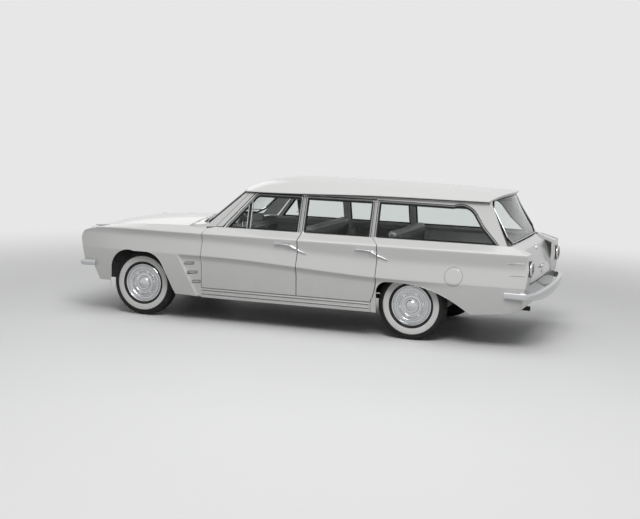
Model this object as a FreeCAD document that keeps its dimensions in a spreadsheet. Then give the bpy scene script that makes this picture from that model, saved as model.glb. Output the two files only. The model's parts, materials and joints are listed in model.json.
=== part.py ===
import FreeCAD, Part
import math
import os
import Sketcher
from FreeCAD import Vector

# Four-door station wagon, millimetres. +X is the front, +Y the left side, +Z up.
# The origin lies on the ground, midway between the bumper tips and the two sides.

doc = FreeCAD.newDocument("StationWagon")
sheet = doc.addObject("Spreadsheet::Sheet", "Sizes")

SIZES = {
    # main dimensions
    "wheelbase": 2845,
    "front_overhang": 752,
    "rear_overhang": 1211,
    "body_width": 1834,
    "track": 1443,
    "roof_height": 1456,
    # wheels
    "tyre_radius": 333,
    "tyre_width": 158,
    "rim_radius": 196,
    "rim_width": 128,
    "hub_radius": 62,
    "spindle_radius": 20,
    "spindle_reach": 22,
    "drum_radius": 125,
    "cap_radius": 178,
    "bead_gap": 0.3,
    "steer_offset": 76,
    "knuckle_height": 210,
    # heights of the lines along the side
    "sill_bottom": 250,
    "door_bottom": 351,
    "crease_front": 672,
    "crease_rear": 588,
    "cove_front": 834,
    "cove_rear": 755,
    "shoulder_height": 895,
    "belt_height": 958,
    "drip_front": 1328,
    "drip_rear": 1300,
    # how far each line lies inside the widest one
    "sill_inset": 46,
    "lower_inset": 26,
    "cove_inset": 46,
    "shoulder_inset": 20,
    "belt_half": 768,
    "glass_top_half": 640,
    "windshield_foot_half": 718.5,
    "windshield_head_half": 607,
    "front_taper": 74,
    "rear_taper": 52,
    # walls, gaps and doors
    "skin": 20,
    "frame_wall": 26,
    "door_depth": 100,
    "door_step": 30,
    "shut_gap": 8,
    "frame_gap": 15,
    "seat_gap": 0.3,
    "frame_bar": 18,
    "front_cut_back": 692,
    "centre_cut_ahead": 1138,
    "rear_cut_ahead": 331,
    "glass_wall": 5,
    # hood and cowl
    "hood_rear_back": 480,
    "hood_front_ahead": 664,
    "hood_half": 735,
    "hood_wall": 22,
    "hood_rear_height": 1007,
    "hood_front_height": 866,
    # roof
    "roof_half": 664,
    "roof_front_back": 884,
    "roof_front_bow": 205,
    "roof_rear_back": 768,
    "roof_rear_bow": 95,
    "roof_wall": 26,
    # tailgate and tail
    "gate_half": 640,
    "gate_bottom": 600,
    "gate_wall": 60,
    "gate_back": 1098,
    "gate_lean": 105,
    "gate_bow": 80,
    "tail_lamp_radius": 66,
    # bumpers
    "bumper_height": 544,
    "bumper_depth": 118,
    "bumper_wall": 34,
    # inside
    "floor_height": 262,
    "floor_wall": 18,
    "cargo_height": 590,
    "tunnel_half": 130,
    "tunnel_height": 150,
    "seat_width": 1330,
    "cushion_depth": 500,
    "cushion_thick": 130,
    "cushion_height": 430,
    "back_height": 480,
    "back_thick": 120,
    "front_seat_ahead": 1240,
    "rear_seat_ahead": 250,
    "steering_wheel_radius": 205,
    "steering_rim": 11,
}

for row, (alias, value) in enumerate(SIZES.items(), start=1):
    sheet.set("A%d" % row, alias.replace("_", " "))
    sheet.set("B%d" % row, str(value))
    sheet.setAlias("B%d" % row, alias)
doc.recompute()


def size(alias):
    return float(sheet.get(alias))


# Places that follow from the sheet

half_length = (size("front_overhang") + size("wheelbase") + size("rear_overhang")) / 2
front_axle = half_length - size("front_overhang")
rear_axle = front_axle - size("wheelbase")
FRONT_AXLE = "((Sizes.wheelbase + Sizes.rear_overhang - Sizes.front_overhang) / 2)"
REAR_AXLE = "((Sizes.rear_overhang - Sizes.front_overhang - Sizes.wheelbase) / 2)"
half_width = size("body_width") / 2
half_track = size("track") / 2
front_cut = front_axle - size("front_cut_back")
centre_cut = rear_axle + size("centre_cut_ahead")
rear_cut = rear_axle + size("rear_cut_ahead")
hood_rear = front_axle - size("hood_rear_back")
hood_front = front_axle + size("hood_front_ahead")
tail_end = -half_length + 96
nose_end = half_length - 60
gate_x = rear_axle - size("gate_back")
gap = size("shut_gap")
weld = 0.01
house_radius = size("tyre_radius") + 54


def blend(value, low, high, at_low, at_high):
    """A height that runs smoothly from at_low to at_high, and stays level outside."""
    share = min(max((value - low) / (high - low), 0.0), 1.0)
    return at_low + (at_high - at_low) * (0.5 - 0.5 * math.cos(math.pi * share))


def widest(x):
    """Half width of the body at its widest line."""
    front_share = max((x - front_cut * 0.5) / (half_length - front_cut * 0.5), 0.0)
    rear_share = max((rear_cut * 0.7 - x) / (half_length + rear_cut * 0.7), 0.0)
    return half_width - size("front_taper") * front_share ** 2.4 - size("rear_taper") * rear_share ** 2


def drip_height(x):
    return blend(x, rear_axle - 600, front_cut - 300, size("drip_rear") - 6, size("drip_front"))


def hood_edge_height(x):
    ahead = max((x - hood_rear) / (hood_front - hood_rear), 0.0)
    return size("belt_height") - 8 - 28 * ahead - 62 * ahead ** 4


def side_line(x, inset, fender=False):
    """Corners of the side's section at x, from the sill up, moved inwards by inset."""
    wide = widest(x)
    crease = blend(x, rear_axle, front_cut, size("crease_rear"), size("crease_front"))
    cove = blend(x, rear_axle, front_axle, size("cove_rear"), size("cove_front"))
    shoulder = size("shoulder_height") - 48 * max((x - front_axle - 250) / 400, 0.0) ** 3
    if fender:
        top_half = size("hood_half") + gap
        top = hood_edge_height(x)
    else:
        top_half = size("belt_half") - 14 * blend(x, -half_length, front_cut, 1, 0) - inset * 0.6
        top = size("belt_height")
    return [
        Vector(x, wide - size("sill_inset") - inset, size("sill_bottom")),
        Vector(x, wide - size("lower_inset") - inset, crease - 75),
        Vector(x, wide - inset, crease),
        Vector(x, wide - size("cove_inset") - inset, cove),
        Vector(x, wide - size("shoulder_inset") - inset, shoulder - inset * 0.3),
        Vector(x, top_half, top - inset * 0.8),
    ]


def loft(sections):
    wires = [Part.makePolygon(points + [points[0]]) for points in sections]
    return Part.makeLoft(wires, True, False)


def stations(low, high, count):
    return [low + (high - low) * i / (count - 1) for i in range(count)]


def side_wall(low, high, count, outer, inner, fender=False):
    """The lower side between two insets, as one solid along X."""
    sections = []
    for x in stations(low, high, count):
        sections.append(side_line(x, outer, fender) + list(reversed(side_line(x, inner, fender))))
    return loft(sections)


def between_sides(low, high, inset, fender=False):
    """All the space between the two side walls, to trim what seats on both."""
    sections = []
    for x in stations(low, high, 9):
        line = side_line(x, inset, fender)
        far = [Vector(point.x, -point.y, point.z) for point in reversed(line)]
        sections.append(line + far)
    return loft(sections)


def side_core(low, high, count, outer, depth):
    """The box inside a door, pillar or sill, flat on its inner face."""
    sections = []
    for x in stations(low, high, count):
        line = side_line(x, outer)
        belt = line[-1]
        inner_y = half_width - depth
        inner = [
            Vector(x, belt.y - 16, belt.z),
            Vector(x, inner_y, size("belt_height") - 92),
            Vector(x, inner_y, size("sill_bottom")),
        ]
        sections.append(line + inner)
    return loft(sections)


def glass_line(x, inset, rise):
    """Belt and top of the side windows' leaning plane."""
    low = side_line(min(x, front_cut), 0)[-1]
    foot = low.z - 18 if rise == 0 else low.z - 90
    top = drip_height(x) - 6
    lean = (low.y - size("glass_top_half")) / (top - low.z + 18)
    return [
        Vector(x, low.y - inset + lean * (low.z - 18 - foot), foot),
        Vector(x, size("glass_top_half") - inset - lean * rise, top + rise),
    ]


def glass_wall(low, high, outer, inner, rise=0):
    """The side windows' plane as a wall between two insets, its top raised by rise."""
    sections = []
    for x in (low, high):
        sections.append(glass_line(x, outer, rise) + list(reversed(glass_line(x, inner, rise))))
    return loft(sections)


def prism(outline, low_y, high_y):
    """A solid across the car from an outline of (x, z) corners or three-point arcs."""
    edges = []
    points = [entry for entry in outline]
    start = Vector(points[0][0], low_y, points[0][1])
    first = start
    for entry in points[1:] + [points[0]]:
        if len(entry) == 4:
            middle = Vector(entry[0], low_y, entry[1])
            end = Vector(entry[2], low_y, entry[3])
            edges.append(Part.Arc(start, middle, end).toShape())
        else:
            end = Vector(entry[0], low_y, entry[1])
            if end.distanceToPoint(start) > 1e-6:
                edges.append(Part.LineSegment(start, end).toShape())
        start = end
    if start.distanceToPoint(first) > 1e-6:
        edges.append(Part.LineSegment(start, first).toShape())
    face = Part.Face(Part.Wire(edges))
    return face.extrude(Vector(0, high_y - low_y, 0))


def panel(outer, inner):
    """A closed wall between two grids of points that have the same rows and columns."""
    faces = []
    surfaces = []
    for grid in (outer, inner):
        surface = Part.BSplineSurface()
        surface.interpolate(grid)
        surfaces.append(surface)
        faces.append(surface.toShape())
    for side in range(4):
        edges = []
        for surface in surfaces:
            u0, u1, v0, v1 = surface.bounds()
            if side == 0:
                curve = surface.uIso(u0)
            elif side == 1:
                curve = surface.uIso(u1)
            elif side == 2:
                curve = surface.vIso(v0)
            else:
                curve = surface.vIso(v1)
            edges.append(curve.toShape())
        faces.append(Part.makeRuledSurface(edges[0], edges[1]))
    shell = Part.Shell(faces)
    shell.sewShape()
    solid = Part.Solid(shell)
    if solid.Volume < 0:
        solid.reverse()
    return solid


def grid_panel(place, rows, columns, wall):
    """A panel from place(u, v), with its inner face moved by wall(u, v)."""
    outer = []
    inner = []
    for i in range(rows):
        u = i / (rows - 1)
        outer_row = []
        inner_row = []
        for j in range(columns):
            v = -1 + 2 * j / (columns - 1)
            point = place(u, v)
            outer_row.append(point)
            inner_row.append(point + wall(u, v))
        outer.append(outer_row)
        inner.append(inner_row)
    return panel(outer, inner)


def box(x0, x1, y0, y1, z0, z1):
    return Part.makeBox(x1 - x0, y1 - y0, z1 - z0, Vector(x0, y0, z0))


def fused(shapes):
    return shapes[0].multiFuse(shapes[1:], weld)


def joined(shapes):
    """One solid whose flat faces in line are merged."""
    return fused(shapes).removeSplitter()


nodes = []


def keep(name, shape):
    """Puts a shape in the document as a sub-part."""
    feature = doc.addObject("Part::Feature", name.title().replace("_", ""))
    feature.Label = name
    feature.Shape = shape
    nodes.append(feature)
    return feature


def mirror(name, source):
    """The right side's copy of a left sub-part."""
    feature = doc.addObject("Part::Mirroring", name.title().replace("_", ""))
    feature.Label = name
    feature.Source = source
    feature.Normal = Vector(0, 1, 0)
    nodes.append(feature)
    return feature


def new_body(name):
    body = doc.addObject("PartDesign::Body", name.title().replace("_", ""))
    body.Label = name
    nodes.append(body)
    return body


def sketch_on(body, role, name):
    plane = [item for item in body.Origin.OriginFeatures if item.Role == role][0]
    sketch = body.newObject("Sketcher::SketchObject", name)
    sketch.AttachmentSupport = [(plane, "")]
    sketch.MapMode = "FlatFace"
    return sketch


def polygon(sketch, corners):
    """Closed straight outline whose corners are pairs of expressions."""
    spots = []
    for across, along in corners:
        spots.append((sketch.evalExpression(str(across)), sketch.evalExpression(str(along))))
    count = len(spots)
    first = sketch.GeometryCount
    for i in range(count):
        a = spots[i]
        b = spots[(i + 1) % count]
        sketch.addGeometry(Part.LineSegment(Vector(float(a[0]), float(a[1]), 0), Vector(float(b[0]), float(b[1]), 0)))
    for i in range(count):
        sketch.addConstraint(Sketcher.Constraint("Coincident", first + i, 2, first + (i + 1) % count, 1))
    for i, corner in enumerate(corners):
        for kind, spot, expression in (("DistanceX", spots[i][0], corner[0]), ("DistanceY", spots[i][1], corner[1])):
            number = sketch.addConstraint(Sketcher.Constraint(kind, -1, 1, first + i, 1, float(spot)))
            sketch.setExpression("Constraints[%d]" % number, str(expression))


def move(item, x, y, z):
    for axis, expression in (("x", x), ("y", y), ("z", z)):
        item.setExpression("Placement.Base." + axis, str(expression))


# Wheels and tyres

def wheel_pair(place, axle):
    """Tyre and rim of one left wheel, turned about Y, and their mirrored copies."""
    tyre = new_body("tyre_%s_left" % place)
    outline = sketch_on(tyre, "XY_Plane", "Section" + place)
    polygon(outline, [
        ("Sizes.rim_radius + Sizes.bead_gap", "-Sizes.tyre_width / 2 + 22"),
        ("Sizes.rim_radius + 42", "-Sizes.tyre_width / 2 + 3"),
        ("Sizes.rim_radius + 82", "-Sizes.tyre_width / 2"),
        ("Sizes.tyre_radius - 12", "-Sizes.tyre_width / 2 + 16"),
        ("Sizes.tyre_radius", "-Sizes.tyre_width / 2 + 34"),
        ("Sizes.tyre_radius", "Sizes.tyre_width / 2 - 34"),
        ("Sizes.tyre_radius - 12", "Sizes.tyre_width / 2 - 16"),
        ("Sizes.rim_radius + 82", "Sizes.tyre_width / 2"),
        ("Sizes.rim_radius + 42", "Sizes.tyre_width / 2 - 3"),
        ("Sizes.rim_radius + Sizes.bead_gap", "Sizes.tyre_width / 2 - 22"),
    ])
    turn = tyre.newObject("PartDesign::Revolution", "Turn" + place)
    turn.Profile = outline
    turn.ReferenceAxis = (outline, ["V_Axis"])
    turn.Angle = 360
    tyre.Tip = turn
    move(tyre, axle, "Sizes.track / 2", "Sizes.tyre_radius")

    rim = new_body("rim_%s_left" % place)
    outline = sketch_on(rim, "XY_Plane", "RimSection" + place)
    polygon(outline, [
        ("0", "Sizes.spindle_reach + 4"),
        ("Sizes.spindle_radius + Sizes.bead_gap", "Sizes.spindle_reach + 4"),
        ("Sizes.spindle_radius + Sizes.bead_gap", "-8"),
        ("Sizes.cap_radius - 28", "-8"),
        ("Sizes.cap_radius - 8", "-Sizes.rim_width / 2 + 20"),
        ("Sizes.rim_radius - 12", "-Sizes.rim_width / 2"),
        ("Sizes.rim_radius", "-Sizes.rim_width / 2"),
        ("Sizes.rim_radius", "Sizes.rim_width / 2"),
        ("Sizes.cap_radius", "Sizes.rim_width / 2 + 4"),
        ("Sizes.hub_radius + 50", "Sizes.rim_width / 2 - 18"),
        ("Sizes.hub_radius", "Sizes.rim_width / 2 + 6"),
        ("0", "Sizes.rim_width / 2 + 18"),
    ])
    turn = rim.newObject("PartDesign::Revolution", "RimTurn" + place)
    turn.Profile = outline
    turn.ReferenceAxis = (outline, ["V_Axis"])
    turn.Angle = 360
    rim.Tip = turn
    move(rim, axle, "Sizes.track / 2", "Sizes.tyre_radius")
    return tyre, rim


for place, axle in (("front", FRONT_AXLE), ("rear", REAR_AXLE)):
    left_tyre, left_rim = wheel_pair(place, axle)
    mirror("tyre_%s_right" % place, left_tyre)
    mirror("rim_%s_right" % place, left_rim)


# Outlines in side view

def arch_front():
    """Front wheel opening, from its rear foot over the tyre and down again."""
    x = front_axle
    return [
        (x - 452, size("sill_bottom") - 60),
        (x - 266, 548),
        (x - 196, 632, x - 60, 673),
        (x + 70, 672),
        (x + 262, 632, x + 332, 500),
        (x + 340, size("sill_bottom") - 60),
    ]


def arch_rear():
    """Rear wheel opening, whose low top covers part of the tyre."""
    x = rear_axle
    return [
        (x + 322, size("sill_bottom") - 60),
        (x + 332, 440),
        (x + 300, 528, x + 220, 561),
        (x - 180, 518, x - 590, 306),
        (x - 680, size("sill_bottom") - 60),
    ]


def door_top(x):
    return drip_height(x) - 20


bar = size("frame_bar")
belt = size("belt_height")
a_foot = front_cut - 148
a_head = front_cut - 408
frame_foot_x = a_foot + 44
frame_head_x = a_head + 34
frame_head_z = door_top(a_head) - 44


def door_outline(low_x, high_x, step, front_door):
    """Outer edge of a door in side view, drawn in by step."""
    bottom = size("door_bottom") + step
    rear = low_x + step
    front = high_x - step
    if front_door:
        return [
            (rear, bottom),
            (front, bottom),
            (front, belt - 20),
            (frame_foot_x, belt - 2),
            (frame_head_x, frame_head_z),
            (a_head - 6, door_top(a_head) - 8, a_head - 66, door_top(a_head)),
            (low_x + step, door_top(low_x)),
        ]
    return [
        (rear + 52, bottom),
        (front, bottom),
        (front, door_top(high_x)),
        (low_x + 96, door_top(low_x)),
        (low_x + 96, belt + 8),
        (rear, belt - 60),
        (rear, 600),
        (rear + 12, 470, rear + 52, bottom + 1),
    ]


def front_window():
    low = centre_cut + size("frame_gap") / 2 + bar
    return [
        (low, belt),
        (a_foot - 26, belt),
        (a_head + 4, door_top(a_head) - 66),
        (a_head - 36, door_top(a_head) - 24, a_head - 80, door_top(a_head) - bar),
        (low, door_top(low) - bar),
    ]


def rear_window():
    high = centre_cut - size("frame_gap") / 2 - bar
    low = rear_cut + 96 + bar
    return [(low, belt), (high, belt), (high, door_top(high) - bar), (low, door_top(low) - bar)]


def cargo_window():
    front = rear_cut + 96 - size("frame_gap") - bar
    back = rear_axle - 640
    top = door_top(front) - bar
    return [
        (back - 150, belt),
        (front, belt),
        (front, top),
        (back + 300, top - 12),
        (back + 120, top - 12, back + 70, top - 80),
        (back, 1110),
    ]


# Roof

def roof_profile(u):
    """Height of the roof's middle above its edge, front to rear."""
    return (size("roof_height") - size("drip_front")) * (1 - (1 - min(u / 0.3, 1.0)) ** 4) - 62 * max(u - 0.3, 0.0) ** 2


def roof_place(u, v):
    front = front_axle - size("roof_front_back") - size("roof_front_bow") * v * v
    rear = rear_axle - size("roof_rear_back") + size("roof_rear_bow") * v * v
    x = front + (rear - front) * u
    z = drip_height(x) + roof_profile(u) * (1 - abs(v) ** 3.2)
    return Vector(x, v * size("roof_half"), z)


def roof_under(u, v):
    return Vector(0, -20 * v, -12 - (size("roof_wall") - 12) * (1 - v ** 4) * min(u * 8, 1.0))


roof = keep("roof", grid_panel(roof_place, 15, 13, roof_under))


def windshield_foot(v):
    return Vector(hood_rear - 60 - 150 * v * v, v * size("windshield_foot_half"), size("hood_rear_height") - 3 - 25 * v * v)


def windshield_head(v):
    head = roof_place(0, v * 0.9) + Vector(-10, 0, -16)
    return Vector(head.x, v * size("windshield_head_half"), head.z)


def roof_space():
    """The space above the roof's inner face, to trim what reaches up to it."""
    def inner_place(u, v):
        return roof_place(u, v) + roof_under(u, v)

    return grid_panel(inner_place, 15, 13, lambda u, v: Vector(0, 0, size("roof_height") + 200 - inner_place(u, v).z))


above_roof = roof_space()


# Doors

skin = size("skin")
frame_wall = size("frame_wall")
lower_skin = side_wall(tail_end, front_cut + 20, 11, 0, skin)
fender_skin = side_wall(front_cut - 20, nose_end, 9, 0, skin, True)
front_edge = front_cut - gap / 2
door_low = centre_cut + gap / 2
rear_front = centre_cut - gap / 2
rear_low = rear_cut + gap / 2


def door(low_x, high_x, front_door, window, frame_low, frame_high):
    core = side_core(low_x - 1, high_x + 1, 5, skin / 2, size("door_depth"))
    outline = prism(door_outline(low_x, high_x, 0, front_door), 500, 1000)
    inner = prism(door_outline(low_x, high_x, size("door_step"), front_door), 500, 1000)
    outer_part = lower_skin.common(outline)
    core_part = core.common(inner)
    frame = glass_wall(frame_low, frame_high, 2, frame_wall).common(outline)
    shape = joined([outer_part, core_part, frame])
    return shape.cut(prism(window, 500, 1000).common(box(-3000, 3000, 500, 1000, belt, 2000)))


def pane(window, low_x, high_x):
    """Flat glass that fills a window, set in its frame."""
    middle = frame_wall / 2
    wall = glass_wall(low_x, high_x, middle - size("glass_wall") / 2, middle + size("glass_wall") / 2)
    return wall.common(prism(window, 500, 1000)).common(box(-3000, 3000, 500, 1000, belt, 2000))


frame_mid = centre_cut + size("frame_gap") / 2
door_front = keep("door_front_left", door(door_low, front_edge, True, front_window(), frame_mid, front_cut))
mirror("door_front_right", door_front)
rear_frame_mid = centre_cut - size("frame_gap") / 2
door_rear = keep("door_rear_left", door(rear_low, rear_front, False, rear_window(), rear_cut, rear_frame_mid))
mirror("door_rear_right", door_rear)
glass_front = keep("glass_front_left", pane(front_window(), centre_cut, front_cut))
mirror("glass_front_right", glass_front)
glass_rear = keep("glass_rear_left", pane(rear_window(), rear_cut, centre_cut))
mirror("glass_rear_right", glass_rear)


# Fenders

def fender():
    low = front_cut + gap / 2
    x = front_axle
    outline = prism([
        (low, size("sill_bottom") + 14),
        (low, belt + 60),
        (hood_front - 40, belt + 60),
        (x + 569, 883),
        (x + 626, 858),
        (x + 682, 800, x + 690, 760),
        (x + 668, 640),
        (x + 640, 520),
        (x + 540, 500),
        (x + 466, 346),
        (x + 340, 345),
        (x + 340, 280),
    ], 500, 1000)
    return fender_skin.common(outline).cut(prism(arch_front(), 500, 1000))


fender_left = keep("fender_left", fender())
mirror("fender_right", fender_left)


# Quarter panels

def quarter():
    high = rear_cut - gap / 2
    frame_front = rear_cut + 96 - size("frame_gap")
    back = rear_axle - 640
    lower_outline = prism([
        (high, 600),
        (high, belt - 60),
        (frame_front, belt + 8),
        (frame_front, belt + 60),
        (tail_end + 30, belt + 60),
        (tail_end + 20, 889),
        (tail_end, 760),
        (tail_end + 20, 600),
        (tail_end + 60, 393),
        (rear_axle - 911, 338),
        (rear_axle - 586, 306),
        (rear_axle - 586, 200),
        (high + 52, 200),
        (high + 52, size("door_bottom") - 8),
        (high + 12, 470, high, 600),
    ], 500, 1000)
    lower = lower_skin.common(lower_outline).cut(prism(arch_rear(), 500, 1000))
    roof_edge = roof_place(1, 1)
    upper_outline = prism([
        (high, belt - 60),
        (frame_front, belt + 8),
        (frame_front, belt + 500),
        (roof_edge.x + 3, belt + 500),
        (roof_edge.x + 3, roof_edge.z - 10),
        (back - 52, roof_edge.z - 10),
        (back - 252, belt - 18),
    ], 500, 1000)
    upper = glass_wall(-half_length, frame_front, 2, frame_wall, 60).common(upper_outline).cut(above_roof)
    upper = upper.cut(prism(cargo_window(), 500, 1000).common(box(-3000, 3000, 500, 1000, belt, 2000)))
    return joined([lower, upper])


quarter_left = keep("quarter_left", quarter())
mirror("quarter_right", quarter_left)
cargo_glass = pane(cargo_window(), -half_length, rear_cut + 96)
keep("cargo_glass", Part.makeCompound([cargo_glass, cargo_glass.mirror(Vector(0, 0, 0), Vector(0, 1, 0))]))


# Windshield and rear window

def windshield_place(u, v):
    low = windshield_foot(v)
    high = windshield_head(v)
    return low + (high - low) * u


def glass_step(u, v):
    return Vector(-6, 0, -3)


keep("windshield", grid_panel(windshield_place, 5, 9, glass_step))


def rear_glass_place(u, v):
    low = Vector(gate_x + size("gate_lean") + 92 * v * v, v * 690, belt + 4)
    high = Vector(rear_axle - size("roof_rear_back") + 20 + 78 * v * v, v * 590, drip_height(-1e4) + 20 - 12 * v * v)
    return low + (high - low) * u


keep("rear_window", grid_panel(rear_glass_place, 5, 9, lambda u, v: Vector(6, 0, 0)))


# Hood

def hood_middle(x):
    ahead = (x - hood_rear) / (hood_front - hood_rear)
    drop = size("hood_rear_height") - size("hood_front_height")
    return size("hood_rear_height") - drop * (0.42 * ahead + 0.58 * ahead ** 5)


def hood_place(u, v):
    x = hood_rear + (hood_front - 30 * v * v - hood_rear) * u
    edge = hood_edge_height(x)
    z = edge + (hood_middle(x) - edge) * (1 - v * v)
    return Vector(x, v * size("hood_half"), z)


keep("hood", grid_panel(hood_place, 11, 11, lambda u, v: Vector(0, 0, -size("hood_wall"))))


# Tailgate

def gate_place(u, v):
    z = size("gate_bottom") + (belt - 6 - size("gate_bottom")) * u
    x = gate_x + size("gate_lean") * u ** 2.2 + size("gate_bow") * v * v
    return Vector(x, v * size("gate_half"), z)


keep("tailgate", grid_panel(gate_place, 7, 9, lambda u, v: Vector(size("gate_wall"), 0, 0)))


# Rear panel with the lamp faces beside the tailgate

def rear_panel():
    inner = size("gate_half") + gap
    outer = half_width
    face = prism([
        (tail_end + 62, belt - 12),
        (tail_end + 20, 889),
        (tail_end, 760),
        (tail_end + 18, size("gate_bottom") - 12),
        (tail_end + 60, size("gate_bottom") - 12),
        (tail_end + 80, belt - 12),
    ], inner, outer)
    shelf = prism([
        (tail_end + 18, size("gate_bottom") - 12),
        (tail_end + 60, 380),
        (tail_end + 90, 380),
        (tail_end + 90, size("gate_bottom") - 12),
    ], -outer, outer)
    other = face.mirror(Vector(0, 0, 0), Vector(0, 1, 0))
    space = between_sides(tail_end - 60, rear_axle, skin + 1.2)
    hinges = []
    for y in (-420, 420):
        hinges.append(box(gate_x + 36, gate_x + 76, y - 35, y + 35,
                          size("gate_bottom") - 13, size("gate_bottom") - size("seat_gap")))
    return joined([face, other, shelf] + hinges).common(space)


keep("rear_panel", rear_panel())

lamps = []
for side in (-1, 1):
    lamp = Part.makeCone(size("tail_lamp_radius"), size("tail_lamp_radius") * 0.82, 26,
                         Vector(tail_end, side * 745, 757), Vector(-1, 0, 0))
    lamps.append(lamp)
keep("tail_lamps", Part.makeCompound(lamps))


# Nose: grille, lamps and the panel that carries them

nose_half = half_width


def nose_panel():
    x = hood_front
    low = size("bumper_height") + 8
    plate = prism([(x - 34, low), (x + 4, low), (x + 22, 700), (x - 10, 838), (x - 40, 838), (x - 20, 700)],
                  -nose_half, nose_half)
    holes = []
    for side in (-1, 1):
        for y in (570, 735):
            holes.append(Part.makeCylinder(76, 200, Vector(x - 100, side * y, 705), Vector(1, 0, 0)))
        holes.append(box(x - 100, x + 100, min(side * 60, side * 470), max(side * 60, side * 470), 630, 780))
    for hole in holes:
        plate = plate.cut(hole)
    return plate.common(between_sides(front_axle, nose_end, skin + 1, True))


keep("nose_panel", nose_panel())


def grille():
    x = hood_front
    bars = []
    for side in (-1, 1):
        low = min(side * 60.3, side * 469.7)
        high = max(side * 60.3, side * 469.7)
        for z in (646, 672, 698, 724, 750):
            bars.append(box(x - 16, x + 10, low, high, z, z + 10))
        for y in (120, 265, 410):
            bars.append(box(x - 16, x - 8, side * y - 5, side * y + 5, 630.3, 779.7))
    return joined(bars[:8]).fuse(joined(bars[8:]))


keep("grille", grille())

lamps = []
for side in (-1, 1):
    for y in (570, 735):
        lamps.append(Part.makeCylinder(75.7, 40, Vector(hood_front - 36, side * y, 705), Vector(1, 0, 0)))
keep("headlamps", Part.makeCompound(lamps))


# Bumpers

def bumper(front):
    """A bowed bar with its ends wrapped round the corners."""
    sign = 1 if front else -1
    tip = sign * half_length
    reach = 190 if front else 240
    half = size("body_width") / 2 - 46

    def place(u, v):
        bow = 70 * abs(v) ** 2.2
        y = v * half
        return Vector(tip - sign * bow, y, size("bumper_height") - size("bumper_depth") * u * (1 - 0.5 * v * v))

    def wall(u, v):
        return Vector(-sign * size("bumper_wall"), 0, 0)

    bar_shape = grid_panel(place, 3, 13, wall)
    ends = []
    for side in (-1, 1):
        low = side * (half - 2)
        high = side * (half + 40)
        x0 = tip - sign * 70
        x1 = tip - sign * (70 + reach)
        ends.append(box(min(x0, x1), max(x0, x1), min(low, high), max(low, high),
                        size("bumper_height") - 60, size("bumper_height")))
    root_x = hood_front - 25.7 if front else tail_end + 41.6
    for side in (-1, 1):
        x1 = tip - sign * (size("bumper_wall") + 5)
        ends.append(box(min(root_x, x1), max(root_x, x1), min(side * 340, side * 390), max(side * 340, side * 390),
                        size("bumper_height") - 94, size("bumper_height") - 74))
    return joined([bar_shape] + ends)


keep("front_bumper", bumper(True))
keep("rear_bumper", bumper(False))


# Sills, pillars and roof rails

def side_frame():
    step = size("door_step")
    inner_y = half_width - size("door_depth")
    post_low = centre_cut - gap / 2 - step + 6
    post_high = centre_cut + gap / 2 + step - 16
    sill_front = front_cut + gap / 2 - 0.3
    pad_z = size("sill_bottom") + 1
    sill = side_wall(rear_cut - 10, front_cut + 10, 5, 0, skin + 16)
    sill = sill.common(box(rear_cut + 52.3, sill_front, 500, 1000, pad_z, size("door_bottom") - gap))
    posts = fused([
        box(rear_cut - 20, front_cut + 110, 500, 1000, pad_z, size("door_bottom") + step - gap),
        box(front_cut - 24, front_cut + 110, 500, 1000, pad_z, belt - 26),
        box(post_low, post_high, 500, 1000, pad_z, belt - 40),
        box(rear_cut - 60, rear_cut + 16, 500, 1000, pad_z, belt - 61),
    ])
    core = side_core(rear_cut - 100, front_cut + 160, 7, skin + size("seat_gap"), size("door_depth")).common(posts)

    rail_rear = rear_axle - 660
    rail_front = a_head + 8
    bars = fused([
        box(rail_rear, rail_front, 400, 1000, drip_height(rear_cut) - 60, 2000),
        box(post_low, post_high, 400, 1000, belt - 92, 2000),
        box(rear_cut + 76, rear_cut + 96, 400, 1000, belt - 92, 2000),
    ])
    rail = glass_wall(rail_rear, rail_front, frame_wall + 6, frame_wall + 32, 60).common(bars).cut(above_roof)

    lean = (frame_foot_x - frame_head_x) / (frame_head_z - belt + 2)
    foot_z = belt - 57.7
    head_z = drip_height(a_head) - 4
    glass_foot = windshield_foot(1)
    glass_head = windshield_head(1)
    pillar = glass_wall(a_head - 200, hood_rear, 2, 36, 60).common(prism([
        (front_cut + 4, foot_z),
        (hood_rear - gap, foot_z),
        (hood_rear - gap, belt - 12),
        (glass_foot.x - 4, glass_foot.z),
        (glass_head.x - 4, glass_head.z),
        (glass_head.x - 4, head_z),
        (frame_foot_x + 12 - lean * (head_z - belt + 2), head_z),
        (frame_foot_x + 12, belt + 8),
        (front_cut + 4, belt - 10),
    ], 500, 1000)).cut(above_roof).cut(roof.Shape)
    bridges = [
        box(post_low, post_high, 708, inner_y + 14, belt - 98, belt - 60),
        box(rear_cut - 60, rear_cut - 4, 708, inner_y + 14, belt - 92, belt - 61),
        box(rear_cut - 60, rear_cut + 96, 708, 742, belt - 92, belt - 50),
    ]
    shape = fused([core, sill, rail, pillar] + bridges)
    wheel = Part.makeCylinder(house_radius + 0.3, 400, Vector(rear_axle, 599.7, size("tyre_radius")), Vector(0, 1, 0))
    return shape.cut(wheel).cut(fender_skin)


side_frame_left = keep("side_frame_left", side_frame())
mirror("side_frame_right", side_frame_left)


# Cowl and firewall

wall_x = hood_rear - 90


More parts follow.
